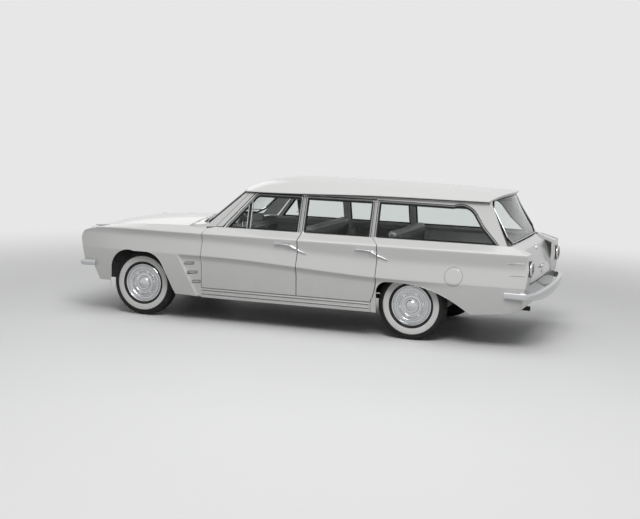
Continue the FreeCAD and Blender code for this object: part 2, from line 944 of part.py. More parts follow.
def cowl():
    foot = size("belt_height") - 58

    def place(u, v):
        back = windshield_foot(v)
        front = Vector(hood_rear - gap, back.y, hood_place(0, v).z)
        return front + (back - front) * u

    top = grid_panel(place, 3, 9, lambda u, v: Vector(0, 0, foot - place(u, v).z))
    plate = box(wall_x, wall_x + 18, -800, 800, size("floor_height") - 18, foot)
    plate = plate.common(between_sides(front_cut, hood_rear, skin + size("seat_gap"), True))
    tunnel = size("tunnel_half")
    peak = size("floor_height") + size("tunnel_height") - size("floor_wall")
    plate = plate.cut(box(wall_x - 1, wall_x + 20, -tunnel, tunnel, 0, peak))
    hinges = []
    for y in (-600, 600):
        hinges.append(box(hood_rear - gap - 4, hood_rear - size("seat_gap"), y - 30, y + 30, belt - 12, belt + 6))
    return joined([top, plate] + hinges)


keep("cowl", cowl())


# Floor, seat platform and load floor

floor_top = size("floor_height")
floor_wall = size("floor_wall")
floor_half = half_width - size("door_depth") - size("seat_gap")
platform = size("cushion_height") - size("seat_gap")
cargo_top = size("cargo_height")
heel_x = rear_axle + 860
back_x = rear_axle + 240


def floor_pan():
    tunnel = size("tunnel_half")
    peak = floor_top + size("tunnel_height")
    main = box(heel_x, wall_x - 0.3, -floor_half, floor_half, floor_top - floor_wall, floor_top)
    main = main.cut(box(heel_x - 1, wall_x, -tunnel, tunnel, 0, floor_top + 1))
    inside = floor_half - 12
    heel = box(heel_x - floor_wall, heel_x, -inside, inside, floor_top - floor_wall, platform)
    seat = box(back_x, heel_x, -inside, inside, platform - floor_wall, platform)
    rise = box(back_x - floor_wall, back_x, -inside, inside, platform - floor_wall, cargo_top - floor_wall)
    hump = box(heel_x - floor_wall, wall_x - 0.3, -tunnel - floor_wall, tunnel + floor_wall,
               floor_top - floor_wall, peak)
    hump = hump.cut(box(heel_x - 2 * floor_wall, wall_x, -tunnel, tunnel, 0, peak - floor_wall))
    heel = heel.cut(box(heel_x - 2 * floor_wall, heel_x + 1, -tunnel, tunnel, 0, platform - floor_wall))
    shape = joined([main, heel, seat, rise, hump])
    for side in (-1, 1):
        wheel = Part.makeCylinder(house_radius + 0.3, 400, Vector(rear_axle, side * 599.7, size("tyre_radius")),
                                  Vector(0, side, 0))
        shape = shape.cut(wheel)
    return shape


keep("floor_pan", floor_pan())


def cargo_floor():
    front = back_x
    rear = gate_x + size("gate_wall") + 13
    inset = skin + size("seat_gap")
    bow = size("gate_bow")
    edge = Part.Arc(Vector(rear + bow + 60, -850, 0), Vector(rear, 0, 0), Vector(rear + bow + 60, 850, 0)).toShape()
    ends = edge.Vertexes
    a = Vector(front, -850, 0)
    b = Vector(front, 850, 0)
    lines = [Part.LineSegment(Vector(rear + bow + 60, 850, 0), b), Part.LineSegment(b, a),
             Part.LineSegment(a, Vector(rear + bow + 60, -850, 0))]
    wire = Part.Wire([edge] + [line.toShape() for line in lines])
    plate = Part.Face(wire).extrude(Vector(0, 0, floor_wall))
    plate.translate(Vector(0, 0, cargo_top - floor_wall))
    space = between_sides(tail_end, rear_cut, inset)
    plate = plate.common(space)
    houses = []
    holes = []
    for side in (-1, 1):
        centre = Vector(rear_axle, side * 600, size("tyre_radius"))
        out = Vector(0, side, 0)
        shell = Part.makeCylinder(house_radius, 300, centre, out)
        houses.append(shell)
        holes.append(Part.makeCylinder(house_radius - 12, 300, centre + out * 12, out))
    shape = plate
    for house in houses:
        shape = shape.fuse(house.common(space))
    for hole in holes:
        shape = shape.cut(hole)
    keep_box = box(-half_length, 0, -1000, 1000, platform + 20, 2000)
    return shape.common(keep_box).removeSplitter()


keep("cargo_floor", cargo_floor())


# Front inner structure, with the radiator

def front_structure():
    high = hood_front - 39.5
    inset = skin + size("seat_gap")
    pieces = []
    for side in (-1, 1):
        def across(a, b, x0, x1, z0, z1):
            return box(x0, x1, min(side * a, side * b), max(side * a, side * b), z0, z1)
        pieces.append(across(441, 453, wall_x + 18.3, high, 480.3, 832))
        pieces.append(across(453, 850, wall_x + 18.3, high, 820, 832))
        pieces.append(across(330, 399, wall_x + 18.3, hood_front - 26, 300.3, 470))
    pieces.append(box(high - 110, high - 90, -453, 453, 470, 832))
    pieces.append(box(high - 110, high - 90, -399, 399, 400, 470))
    pieces.append(box(high - 90, high - 50, -300, 300, 520, 790))
    shape = joined(pieces)
    return shape.common(between_sides(front_cut, nose_end, inset, True))


keep("front_structure", front_structure())


# Engine, torque tube and transaxle

engine_front = front_axle + 150
keep("engine_block", joined([
    box(wall_x + 70, engine_front, -200, 200, 300.3, 660),
    box(wall_x + 110, engine_front - 60, -230, 150, 660, 780),
]))

tube_height = 300
transaxle_front = rear_axle + 200


def drivetrain():
    tube = Part.makeCylinder(42, wall_x + 69.7 - transaxle_front + 1, Vector(transaxle_front - 1, 0, tube_height + 45),
                             Vector(1, 0, 0))
    case = box(rear_axle - 190, transaxle_front, -170, 170, 230, 470)
    return joined([tube, case])


keep("drivetrain", drivetrain())


# Suspension

hub_inner = half_track - 95
spindle_end = half_track + size("spindle_reach")


def drum(x, side, inner):
    radius = size("drum_radius")
    out = Vector(0, side, 0)
    pieces = [
        Part.makeCylinder(radius, half_track - 14 - inner, Vector(x, side * inner, size("tyre_radius")), out),
        Part.makeCylinder(size("spindle_radius"), spindle_end - half_track + 20,
                          Vector(x, side * (half_track - 20), size("tyre_radius")), out),
    ]
    return joined(pieces)


def rear_suspension():
    pieces = [box(rear_axle - 60, rear_axle + 60, -560, 560, 470.3, cargo_top - floor_wall - 0.3)]
    for side in (-1, 1):
        def across(a, b, x0, x1, z0, z1):
            return box(x0, x1, min(side * a, side * b), max(side * a, side * b), z0, z1)
        pieces.append(drum(rear_axle, side, hub_inner))
        pieces.append(Part.makeCylinder(18, hub_inner - 165, Vector(rear_axle, side * 170.3, size("tyre_radius")),
                                        Vector(0, side, 0)))
        pieces.append(across(560, hub_inner + 2, rear_axle - 30, rear_axle + 330, 290, 330))
        pieces.append(across(540, 599, rear_axle + 290, rear_axle + 330, 290, platform - floor_wall - 0.3))
        pieces.append(across(500, 560, rear_axle - 30, rear_axle + 30, 290, 480))
    return joined(pieces)


keep("rear_suspension", rear_suspension())

kingpin = half_track - size("steer_offset")
knuckle_half = size("knuckle_height") / 2


def front_suspension():
    low = size("tyre_radius") - knuckle_half
    high = size("tyre_radius") + knuckle_half
    pieces = [box(front_axle - 70, front_axle + 70, -440, 440, 180, 300)]
    for side in (-1, 1):
        def arm(z0, z1):
            corners = [
                Vector(front_axle - 60, side * 439, z0),
                Vector(front_axle + 60, side * 439, z0),
                Vector(front_axle + 22, side * (kingpin + 6), z0),
                Vector(front_axle - 22, side * (kingpin + 6), z0),
            ]
            face = Part.Face(Part.makePolygon(corners + [corners[0]]))
            return face.extrude(Vector(0, 0, z1 - z0))
        pieces.append(arm(low - 26, low - 0.3))
        pieces.append(arm(high + 0.3, high + 22))
        pieces.append(box(front_axle - 60, front_axle + 60, min(side * 400, side * 440), max(side * 400, side * 440),
                          290, 480))
    return joined(pieces)


keep("front_suspension", front_suspension())


def knuckle():
    low = size("tyre_radius") - knuckle_half
    post = box(front_axle - 22, front_axle + 22, kingpin - 18, kingpin + 24, low, low + 2 * knuckle_half)
    return joined([post, drum(front_axle, 1, kingpin + 23)])


knuckle_left = keep("knuckle_left", knuckle())
mirror("knuckle_right", knuckle_left)


# Fuel tank and exhaust

keep("fuel_tank", box(rear_axle - 900, rear_axle - 370, -380, 380, 330, cargo_top - floor_wall - 0.3))


def exhaust():
    y = -330
    z = 215
    pipe = Part.makeCylinder(24, wall_x - 60 + half_length - 40, Vector(-half_length + 40, y, z), Vector(1, 0, 0))
    muffler = Part.makeCylinder(70, 480, Vector(0, y, 172), Vector(1, 0, 0))
    pieces = [pipe, muffler]
    for x in (-200, 700):
        pieces.append(box(x, x + 20, y - 10, y + 10, z, floor_top - floor_wall - 0.3))
    pieces.append(box(rear_axle - 720, rear_axle - 700, y - 10, y + 10, z, 329.7))
    return joined(pieces)


keep("exhaust", exhaust())


# Dashboard, steering column and wheel

column_angle = math.radians(28)
column_axis = Vector(-math.cos(column_angle), 0, math.sin(column_angle))
wheel_centre = Vector(front_cut - 290, 370, 880)


def dashboard():
    foot = size("belt_height") - 58.3
    x = wall_x - 0.3
    shape = prism([(x, foot), (x - 240, foot), (x - 300, foot - 20), (x - 310, foot - 80), (x - 260, foot - 140),
                   (x, foot - 140)], -700, 700)
    column = Part.makeCylinder(24, 260, wheel_centre - column_axis * 290, column_axis)
    return joined([shape, column])


keep("dashboard", dashboard())


def steering_wheel():
    rim = Part.makeTorus(size("steering_wheel_radius"), size("steering_rim"), wheel_centre, column_axis)
    hub = Part.makeCylinder(34, 46, wheel_centre - column_axis * 29, column_axis)
    spoke = box(-10, 10, -size("steering_wheel_radius"), size("steering_wheel_radius"), -6, 6)
    turn = FreeCAD.Rotation(Vector(0, 0, 1), column_axis)
    spoke.Placement = FreeCAD.Placement(wheel_centre, turn)
    return joined([hub, spoke, rim])


keep("steering_wheel", steering_wheel())


# Seats

def seat(name, rear_x, half, bottom, back_half):
    depth = size("cushion_depth")
    thick = size("cushion_thick")
    top = bottom + thick
    cushion = box(rear_x + 0.5, rear_x + depth, -half, half, bottom + 0.2, top)
    rest = prism([(rear_x, bottom + 0.2), (rear_x - size("back_thick") * 0.4, top + size("back_height")),
                  (rear_x - size("back_thick"), top + size("back_height")),
                  (rear_x - size("back_thick"), bottom + 0.2)], -back_half, back_half)
    keep(name + "_cushion", cushion)
    keep(name + "_back", rest)


front_seat_x = rear_axle + size("front_seat_ahead")
rear_seat_x = rear_axle + size("rear_seat_ahead") + size("back_thick")
seat_half = size("seat_width") / 2
seat("front_seat", front_seat_x, seat_half, size("cushion_height"), seat_half)
seat("rear_seat", rear_seat_x, seat_half, size("cushion_height"), 590)

risers = []
for side in (-1, 1):
    risers.append(box(front_seat_x - 100, front_seat_x + 420, min(side * 160, side * 600), max(side * 160, side * 600),
                      floor_top + 0.3, size("cushion_height")))
keep("seat_risers", Part.makeCompound(risers))


# Check every object, then write the files

doc.recompute()
for item in doc.Objects:
    if any(state in ("Invalid", "Error") for state in item.State):
        raise RuntimeError("%s failed: %s" % (item.Label, item.State))
for item in nodes:
    if item.Shape.isNull() or not item.Shape.isValid():
        raise RuntimeError("%s has a bad shape" % item.Label)
    if not item.Shape.Solids:
        raise RuntimeError("%s holds no solid" % item.Label)

os.makedirs("parts", exist_ok=True)
for item in nodes:
    item.Shape.exportStep("parts/%s.step" % item.Label)
print("%d sub-parts written" % len(nodes))
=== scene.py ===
# %% [markdown]
# # A four-door station wagon, dressed for the camera
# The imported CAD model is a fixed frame: its doors, wheels and panels are where they belong
# and move as they should. Each cell below adds one thing that the eye looks for, such as paint,
# chrome, whitewall tyres or pleated seats, and ties it to the body that carries it.

# %% Load the frame
import json
import math

import bmesh
import bpy
from mathutils import Matrix, Vector

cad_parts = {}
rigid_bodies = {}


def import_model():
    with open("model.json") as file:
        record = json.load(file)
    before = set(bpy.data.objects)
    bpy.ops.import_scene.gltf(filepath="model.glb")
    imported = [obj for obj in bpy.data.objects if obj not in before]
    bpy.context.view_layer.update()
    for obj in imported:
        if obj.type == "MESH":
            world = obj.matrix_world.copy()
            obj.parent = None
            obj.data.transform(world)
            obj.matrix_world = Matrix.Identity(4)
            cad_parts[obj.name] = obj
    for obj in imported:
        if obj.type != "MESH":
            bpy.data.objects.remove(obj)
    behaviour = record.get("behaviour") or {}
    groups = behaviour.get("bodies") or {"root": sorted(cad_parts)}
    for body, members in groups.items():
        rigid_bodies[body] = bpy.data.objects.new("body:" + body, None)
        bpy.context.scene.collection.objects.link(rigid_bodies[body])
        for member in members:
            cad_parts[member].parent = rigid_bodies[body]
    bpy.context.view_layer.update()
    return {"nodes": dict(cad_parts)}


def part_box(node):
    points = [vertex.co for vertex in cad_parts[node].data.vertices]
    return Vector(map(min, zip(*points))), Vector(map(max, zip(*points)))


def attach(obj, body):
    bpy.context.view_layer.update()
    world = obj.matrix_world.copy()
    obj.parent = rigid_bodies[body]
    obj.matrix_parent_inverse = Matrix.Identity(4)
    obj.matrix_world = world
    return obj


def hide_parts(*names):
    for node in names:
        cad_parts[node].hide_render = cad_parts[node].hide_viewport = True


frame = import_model()
nodes = frame["nodes"]
ALONG_Y = (0, 1, 0)
TO_REAR = (-1, 0, 0)

# %% [markdown]
# ## The camera
# It stands where the photo was taken from: well out on the left side, a little behind the car,
# with a long lens. The numbers come from lining up the wheels, the windows and the bumpers.

# %% Camera
AZIMUTH = math.radians(199.41)
ELEVATION = math.radians(7.41)
ROLL = math.radians(1.70)

bpy.ops.object.camera_add(location=(-4.2979, 12.2465, 2.2892))
camera = bpy.context.object
level = Vector((math.sin(AZIMUTH), -math.cos(AZIMUTH), 0))
back = level * math.cos(ELEVATION) + Vector((0, 0, math.sin(ELEVATION)))
right = Vector((0, 0, 1)).cross(back).normalized()
up = back.cross(right)
rolled_right = right * math.cos(ROLL) + up * math.sin(ROLL)
rolled_up = up * math.cos(ROLL) - right * math.sin(ROLL)
camera.rotation_euler = Matrix((rolled_right, rolled_up, back)).transposed().to_euler()
camera.data.sensor_width = 36
camera.data.lens = 70.86
bpy.context.scene.camera = camera
bpy.context.scene.view_settings.view_transform = "Standard"

# %% [markdown]
# ## Small helpers
# An operator acts on everything selected, so each step starts from nothing selected. `pick`
# selects corners or faces by their place, the way a hand would with a box select.

# %% Helpers for selecting and editing


def deselect():
    if bpy.context.object and bpy.context.object.mode != "OBJECT":
        bpy.ops.object.mode_set(mode="OBJECT")
    bpy.ops.object.select_all(action="DESELECT")


def take(obj):
    """Makes obj the only selected and the active object."""
    deselect()
    obj.select_set(True)
    bpy.context.view_layer.objects.active = obj
    return obj


def named(name):
    obj = bpy.context.object
    obj.name = name
    obj.data.name = name
    return obj


def editing(obj, mode="VERT", action="SELECT"):
    """Goes into edit mode with everything selected, or nothing."""
    take(obj)
    bpy.ops.object.mode_set(mode="EDIT")
    bpy.ops.mesh.select_mode(type=mode)
    bpy.ops.mesh.select_all(action=action)


def pick(obj, kind, test):
    """Selects what passes the test and nothing else. kind is verts, edges or faces."""
    editing(obj, {"verts": "VERT", "edges": "EDGE", "faces": "FACE"}[kind], "DESELECT")
    mesh = bmesh.from_edit_mesh(obj.data)
    for item in getattr(mesh, kind):
        if test(item):
            item.select_set(True)
    mesh.select_flush_mode()
    bmesh.update_edit_mesh(obj.data)


def done(obj):
    """Leaves edit mode and writes the object's place into its mesh."""
    take(obj)
    bpy.ops.object.transform_apply(location=True, rotation=True, scale=True)
    return obj


def modified(obj, kind, **settings):
    """Adds a modifier, sets it and applies it."""
    take(obj)
    modifier = obj.modifiers.new(kind.title(), kind)
    for key, value in settings.items():
        setattr(modifier, key, value)
    bpy.ops.object.modifier_apply(modifier=modifier.name)
    return obj


def walled(obj, way, wall):
    """Turns a sheet's faces to look along way, and gives it a wall behind them."""
    if sum(face.normal.dot(Vector(way)) * face.area for face in obj.data.polygons) < 0:
        obj.data.flip_normals()
    return modified(obj, "SOLIDIFY", thickness=wall, offset=-1)


def smooth(obj, angle=35):
    take(obj)
    bpy.ops.object.shade_smooth_by_angle(angle=math.radians(angle))
    return obj


def outward(obj):
    """Merges doubles and turns every face outwards."""
    editing(obj)
    bpy.ops.mesh.remove_doubles(threshold=0.00005)
    bpy.ops.mesh.normals_make_consistent(inside=False)
    deselect()
    return obj


def finished(obj, body, material, slot, *replaced):
    """Gives a piece its finish, the body it rides on and the nodes it stands for."""
    done(obj)
    if material is not None and not obj.data.materials:
        obj.data.materials.append(material)
    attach(obj, body)
    if replaced:
        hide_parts(*replaced)
    return obj


def copied(source, name):
    """A copy of an object with a mesh of its own."""
    take(source)
    bpy.ops.object.duplicate()
    obj = named(name)
    for key in list(obj.keys()):
        del obj[key]
    return obj


def flipped(source, name):
    """The mirror image of a finished left piece, for the right side."""
    obj = copied(source, name)
    obj.data.transform(Matrix.Scale(-1, 4, (0, 1, 0)))
    editing(obj)
    bpy.ops.mesh.flip_normals()
    deselect()
    return obj


# %% [markdown]
# ## Drawing a line, a face or a turned shape
# A circle with as many corners as the line, moved to their places, draws any outline. Filled it
# is a face, with one edge taken out it is an open line, and spun about an axis a turned shape.

# %% Helpers for drawing


def drawn(name, places, closed=False):
    """A line of corners through the places, filled with one face when closed."""
    places = [Vector(place) for place in places]
    if len(places) == 2:
        places.insert(1, (places[0] + places[1]) / 2)
    deselect()
    bpy.ops.mesh.primitive_circle_add(vertices=len(places), fill_type="NGON" if closed else "NOTHING")
    obj = named(name)
    for vertex, place in zip(obj.data.vertices, places):
        vertex.co = place
    if not closed:
        pick(obj, "edges", lambda edge: abs(edge.verts[0].index - edge.verts[1].index) == len(places) - 1)
        bpy.ops.mesh.delete(type="EDGE")
        bpy.ops.object.mode_set(mode="OBJECT")
    return obj


def turned(name, outline, centre, axis=ALONG_Y, steps=64):
    """A shape turned about an axis from (radius, along) pairs."""
    axis = Vector(axis).normalized()
    across = axis.orthogonal().normalized()
    centre = Vector(centre)
    obj = drawn(name, [centre + across * radius + axis * along for radius, along in outline])
    editing(obj)
    bpy.ops.mesh.spin(steps=steps, angle=2 * math.pi, center=centre, axis=axis)
    return outward(obj)


def rod(name, places, radius, sides=10):
    """A round bar along the places, made from a curve with a bevel."""
    take(drawn(name, places))
    bpy.ops.object.convert(target="CURVE")
    obj = named(name)
    obj.data.dimensions = "3D"
    obj.data.bevel_depth = radius
    obj.data.bevel_resolution = max(sides // 4, 1)
    obj.data.use_fill_caps = True
    take(obj)
    bpy.ops.object.convert(target="MESH")
    return outward(named(name))


def block(name, low, high, bevel=0.004, segments=2):
    """A bevelled box between two corners, a start for boxy parts."""
    deselect()
    low, high = Vector(low), Vector(high)
    bpy.ops.mesh.primitive_cube_add(size=1, location=(low + high) / 2, scale=high - low)
    obj = done(named(name))
    if bevel:
        editing(obj, "EDGE")
        bpy.ops.mesh.bevel(offset=bevel, segments=segments, affect="EDGES")
        deselect()
    return obj


def shaped(name, columns, rows, place):
    """A grid whose corners go to place(u, v), both from 0 to 1."""
    deselect()
    bpy.ops.mesh.primitive_grid_add(x_subdivisions=columns, y_subdivisions=rows, size=1, location=(0, 0, 0))
    obj = named(name)
    for vertex in obj.data.vertices:
        vertex.co = place(vertex.co.x + 0.5, vertex.co.y + 0.5)
    return obj


def together(name, objects):
    """Joins objects into the first one."""
    deselect()
    for obj in objects:
        obj.select_set(True)
    bpy.context.view_layer.objects.active = objects[0]
    if len(objects) > 1:
        bpy.ops.object.join()
    return named(name)


# %% [markdown]
# ## Paint, metal, rubber and glass
# Every finish is built from noise on Object coordinates, so it needs no image. Plain numbers
# stay on the shader's own sockets, and only what varies over the surface is linked.

# %% Helpers for finishes


def socket(material, key):
    """An input of a finish's own shader."""
    return material.node_tree.nodes["Principled BSDF"].inputs[key]


def finish(name, colour, roughness, metallic=0.0, coat=0.0, specular=0.5):
    material = bpy.data.materials.new(name)
    material.use_nodes = True
    for key, value in {"Base Color": (*colour, 1), "Roughness": roughness, "Metallic": metallic, "Coat Weight": coat,
                       "Coat Roughness": 0.06, "Specular IOR Level": specular}.items():
        socket(material, key).default_value = value
    return material


def node(material, kind, **inputs):
    made = material.node_tree.nodes.new(kind)
    for key, value in inputs.items():
        made.inputs[key.replace("_", " ")].default_value = value
    return made


def link(material, source, target):
    material.node_tree.links.new(source, target)


def noise(material, scale, detail=4.0, stretch=(1, 1, 1)):
    """Noise on Object coordinates, stretched along an axis where asked."""
    place = node(material, "ShaderNodeTexCoord")
    mapping = node(material, "ShaderNodeMapping", Scale=stretch)
    texture = node(material, "ShaderNodeTexNoise", Scale=scale, Detail=detail)
    link(material, place.outputs["Object"], mapping.inputs["Vector"])
    link(material, mapping.outputs["Vector"], texture.inputs["Vector"])
    return texture


def between_colours(material, factor, low, high, start=0.3, end=0.7):
    """A ramp from one colour to another, driven by a texture."""
    ramp = node(material, "ShaderNodeValToRGB")
    ramp.color_ramp.elements[0].position = start
    ramp.color_ramp.elements[0].color = (*low, 1)
    ramp.color_ramp.elements[1].position = end
    ramp.color_ramp.elements[1].color = (*high, 1)
    link(material, factor, ramp.inputs["Fac"])
    return ramp.outputs["Color"]


def varied(material, low, high, scale=3.0, detail=4.0):
    texture = noise(material, scale, detail)
    link(material, between_colours(material, texture.outputs["Fac"], low, high), socket(material, "Base Color"))


def worn(material, low, high, scale=20.0, stretch=(1, 1, 1)):
    """Roughness that changes between two values over the surface."""
    texture = noise(material, scale, 5.0, stretch)
    stretched = node(material, "ShaderNodeMapRange", From_Min=0.3, From_Max=0.7, To_Min=low, To_Max=high)
    link(material, texture.outputs["Fac"], stretched.inputs["Value"])
    link(material, stretched.outputs["Result"], socket(material, "Roughness"))


def bumped(material, height, strength, distance=0.001):
    bump = node(material, "ShaderNodeBump", Strength=strength, Distance=distance)
    link(material, height, bump.inputs["Height"])
    link(material, bump.outputs["Normal"], socket(material, "Normal"))


def on_object(material, kind, **inputs):
    """A texture on Object coordinates."""
    place = node(material, "ShaderNodeTexCoord")
    texture = node(material, kind, **inputs)
    link(material, place.outputs["Object"], texture.inputs["Vector"])
    return texture


def grooved(material, scale, direction, strength, distance, distortion=0.0):
    """Even grooves across a direction, from a wave texture."""
    waves = on_object(material, "ShaderNodeTexWave", Scale=scale, Distortion=distortion)
    waves.bands_direction = direction
    bumped(material, waves.outputs["Fac"], strength, distance)


def stock(name, colour, roughness, vary=None, wear=None, grain=None, **more):
    """A finish whose colour, roughness and grain (scale, detail, strength, distance) vary."""
    material = finish(name, colour, roughness, **more)
    if vary:
        varied(material, *vary)
    if wear:
        worn(material, *wear)
    if grain:
        bumped(material, noise(material, *grain[:2]).outputs["Fac"], *grain[2:])
    return material


# %% [markdown]
# ### Pale enamel
# Gloss enamel of the period is smooth with a faint orange peel, and its colour darkens low on
# the sides. Height above the ground drives the darkening, mixed with noise so that it has no edge.

# %% Body enamel
PALE = (0.80, 0.80, 0.785)
enamel = finish("body_enamel", PALE, 0.22, coat=0.5)
place = node(enamel, "ShaderNodeTexCoord")
split = node(enamel, "ShaderNodeSeparateXYZ")
link(enamel, place.outputs["Object"], split.inputs["Vector"])
low_down = node(enamel, "ShaderNodeMapRange", From_Min=0.28, From_Max=0.62, To_Min=1.0, To_Max=0.0)
link(enamel, split.outputs["Z"], low_down.inputs["Value"])
specks = noise(enamel, 9.0, 6.0)
# The paint darkens towards the bottom of the sides, in specks.
low_darkening = node(enamel, "ShaderNodeMath")
low_darkening.operation = "MULTIPLY"
link(enamel, low_down.outputs["Result"], low_darkening.inputs[0])
link(enamel, specks.outputs["Fac"], low_darkening.inputs[1])
link(enamel, between_colours(enamel, low_darkening.outputs["Value"], PALE, (0.66, 0.655, 0.63), 0.0, 0.9),
     socket(enamel, "Base Color"))
worn(enamel, 0.20, 0.25, 1.5)
bumped(enamel, noise(enamel, 900.0, 2.0).outputs["Fac"], 0.05, 0.0002)

# %% [markdown]
# ### Chrome, bright metal and dark metal
# Chrome is a mirror with faint polishing haze. Stamped stainless trim is a little softer, and
# chassis parts are painted black and dulled by the road.

# %% Metals
chrome = stock("chrome_plate", (0.60, 0.61, 0.62), 0.09, None, (0.05, 0.16, 14.0), (60.0, 2.0, 0.03, 0.0004),
               metallic=1.0)
stainless = stock("stainless_trim", (0.50, 0.51, 0.52), 0.2, None, (0.15, 0.28, 40.0, (0.05, 1, 1)),
                  metallic=1.0)
chassis_black = stock("chassis_black", (0.03, 0.03, 0.032), 0.6,
                      ((0.02, 0.02, 0.021), (0.065, 0.06, 0.055), 7.0, 8.0), (0.45, 0.8, 11.0),
                      (220.0, 6.0, 0.25, 0.0006))
cast_iron = stock("engine_enamel", (0.16, 0.19, 0.21), 0.5,
                  ((0.12, 0.14, 0.155), (0.21, 0.235, 0.25), 12.0, 8.0), None, (300.0, 5.0, 0.4, 0.0008))
# Black for dial faces, and the same black as painted shade in slots and behind the grille.
black_paint_and_shade = stock("black_paint_and_shade", (0.015, 0.015, 0.016), 0.5,
                   ((0.010, 0.010, 0.011), (0.03, 0.03, 0.03), 30.0))

# %% [markdown]
# ### Rubber
# The tyre is black with a fine grain. Its wide white band is rubber too, matt, slightly
# creamy, and a touch grey where the kerb has rubbed it.

# %% Rubber
rubber = stock("tyre_black", (0.022, 0.022, 0.023), 0.75,
               ((0.016, 0.016, 0.017), (0.04, 0.039, 0.038), 18.0, 8.0), (0.62, 0.86, 30.0),
               (420.0, 4.0, 0.2, 0.0004), specular=0.3)
white_rubber = stock("tyre_white_band", (0.92, 0.915, 0.90), 0.6,
                     ((0.88, 0.87, 0.85), (0.94, 0.935, 0.92), 14.0, 8.0), None,
                     (350.0, 3.0, 0.12, 0.0003), specular=0.35)
seal = stock("rubber_seal", (0.02, 0.02, 0.02), 0.7, ((0.012, 0.012, 0.012), (0.035, 0.035, 0.035), 40.0),
             specular=0.3)

# %% [markdown]
# ### Glass and lenses
# Window glass passes light with a faint tint. Lenses are pressed glass with fine flutes,
# which a wave texture gives as a bump.

# %% Glass
clear_glass = stock("window_glass", (0.86, 0.89, 0.88), 0.02, None, (0.0, 0.03, 5.0))
socket(clear_glass, "Transmission Weight").default_value = 1.0
socket(clear_glass, "IOR").default_value = 1.2

lens_clear = finish("lens_clear", (0.88, 0.89, 0.90), 0.08, coat=0.4)
socket(lens_clear, "Transmission Weight").default_value = 0.55
grooved(lens_clear, 28.0, "Y", 0.6, 0.002)

lens_red = stock("lens_red", (0.30, 0.012, 0.012), 0.12, ((0.24, 0.008, 0.008), (0.36, 0.02, 0.018), 30.0),
                 coat=0.6)
socket(lens_red, "Transmission Weight").default_value = 0.2
grooved(lens_red, 36.0, "Z", 0.5, 0.0015)

# %% [markdown]
# ### The cabin's finishes
# Dark pleated vinyl on the seats and door cards, a grained dark dashboard, a ribbed mat on the
# floor and pale headlining. The vinyl's grain is small cells that a Voronoi texture gives.

# %% Cabin finishes


def vinyl(name, low, high, roughness=0.42):
    material = stock(name, low, roughness, (low, high, 6.0, 6.0))
    cells = on_object(material, "ShaderNodeTexVoronoi", Scale=520.0)
    bumped(material, cells.outputs["Distance"], 0.25, 0.0005)
    return material


seat_vinyl = vinyl("seat_vinyl", (0.035, 0.036, 0.040), (0.065, 0.066, 0.072))
bolster_vinyl = vinyl("bolster_vinyl", (0.24, 0.24, 0.245), (0.31, 0.31, 0.315))
dash_grain = vinyl("dash_grain", (0.05, 0.05, 0.052), (0.085, 0.085, 0.088), 0.5)
headlining = vinyl("headlining", (0.42, 0.42, 0.41), (0.48, 0.48, 0.47), 0.7)

mat = stock("floor_mat", (0.035, 0.035, 0.036), 0.8, ((0.022, 0.022, 0.023), (0.055, 0.054, 0.052), 16.0, 8.0))
grooved(mat, 60.0, "Y", 0.6, 0.002, 0.2)
wheel_plastic = stock("steering_plastic", (0.55, 0.55, 0.53), 0.25,
                      ((0.50, 0.50, 0.48), (0.58, 0.58, 0.56), 10.0), coat=0.4)
print("finishes:", len(bpy.data.materials))

# Each pair is a finish and the record's slot that it belongs to.
PAINT = (enamel, "body_paint")
CHROME = (chrome, "chrome")
BRIGHT = (stainless, "chrome")
SEAL = (seal, "trim")
BLACK = (black_paint_and_shade, "trim")
GLASS = (clear_glass, "window_glass")
LENS = (lens_clear, "lamp_clear")
VINYL = (seat_vinyl, "seat_vinyl")

# %% [markdown]
# ## The shape of the side
# The side is one surface from nose to tail: a shelf below the windows, a shoulder, a hollow
# band, a flare out to a crease, and a flatter panel below. `side_y` gives it as a height over
# (x, z): straight runs between key lines, with a rounded bend of its own size at each of them.

# %% The side as a function
BODY = "body_shell"
SIDES = ("left", "right")
HALF_LENGTH = 2.404
HALF_WIDTH = 0.917
FRONT_AXLE = 1.652
REAR_AXLE = -1.193
FRONT_CUT = 0.960
CENTRE_CUT = -0.055
FRAME_CUT = -0.037
REAR_CUT = -0.862
NOSE_END = 2.344
BELT = 0.958
HOOD_REAR = 1.172
HOOD_FRONT = 2.316


def ease(value, low, high, at_low, at_high):
    share = min(max((value - low) / (high - low), 0.0), 1.0)
    return at_low + (at_high - at_low) * (0.5 - 0.5 * math.cos(math.pi * share))


def half_width(x):
    front = max((x - 0.48) / (HALF_LENGTH - 0.48), 0.0)
    rear = max((-0.6034 - x) / (HALF_LENGTH - 0.6034), 0.0)
    return HALF_WIDTH - 0.074 * front ** 2.4 - 0.052 * rear ** 2


def hood_edge(x):
    ahead = max((x - HOOD_REAR) / (HOOD_FRONT - HOOD_REAR), 0.0)
    return BELT - 0.008 - 0.028 * ahead - 0.062 * ahead ** 4


def belt_half(x):
    return 0.768 - 0.014 * ease(x, -HALF_LENGTH, FRONT_CUT, 1, 0)


def drip_height(x):
    return ease(x, REAR_AXLE + 0.2, FRONT_CUT - 0.5, 1.356, 1.328)


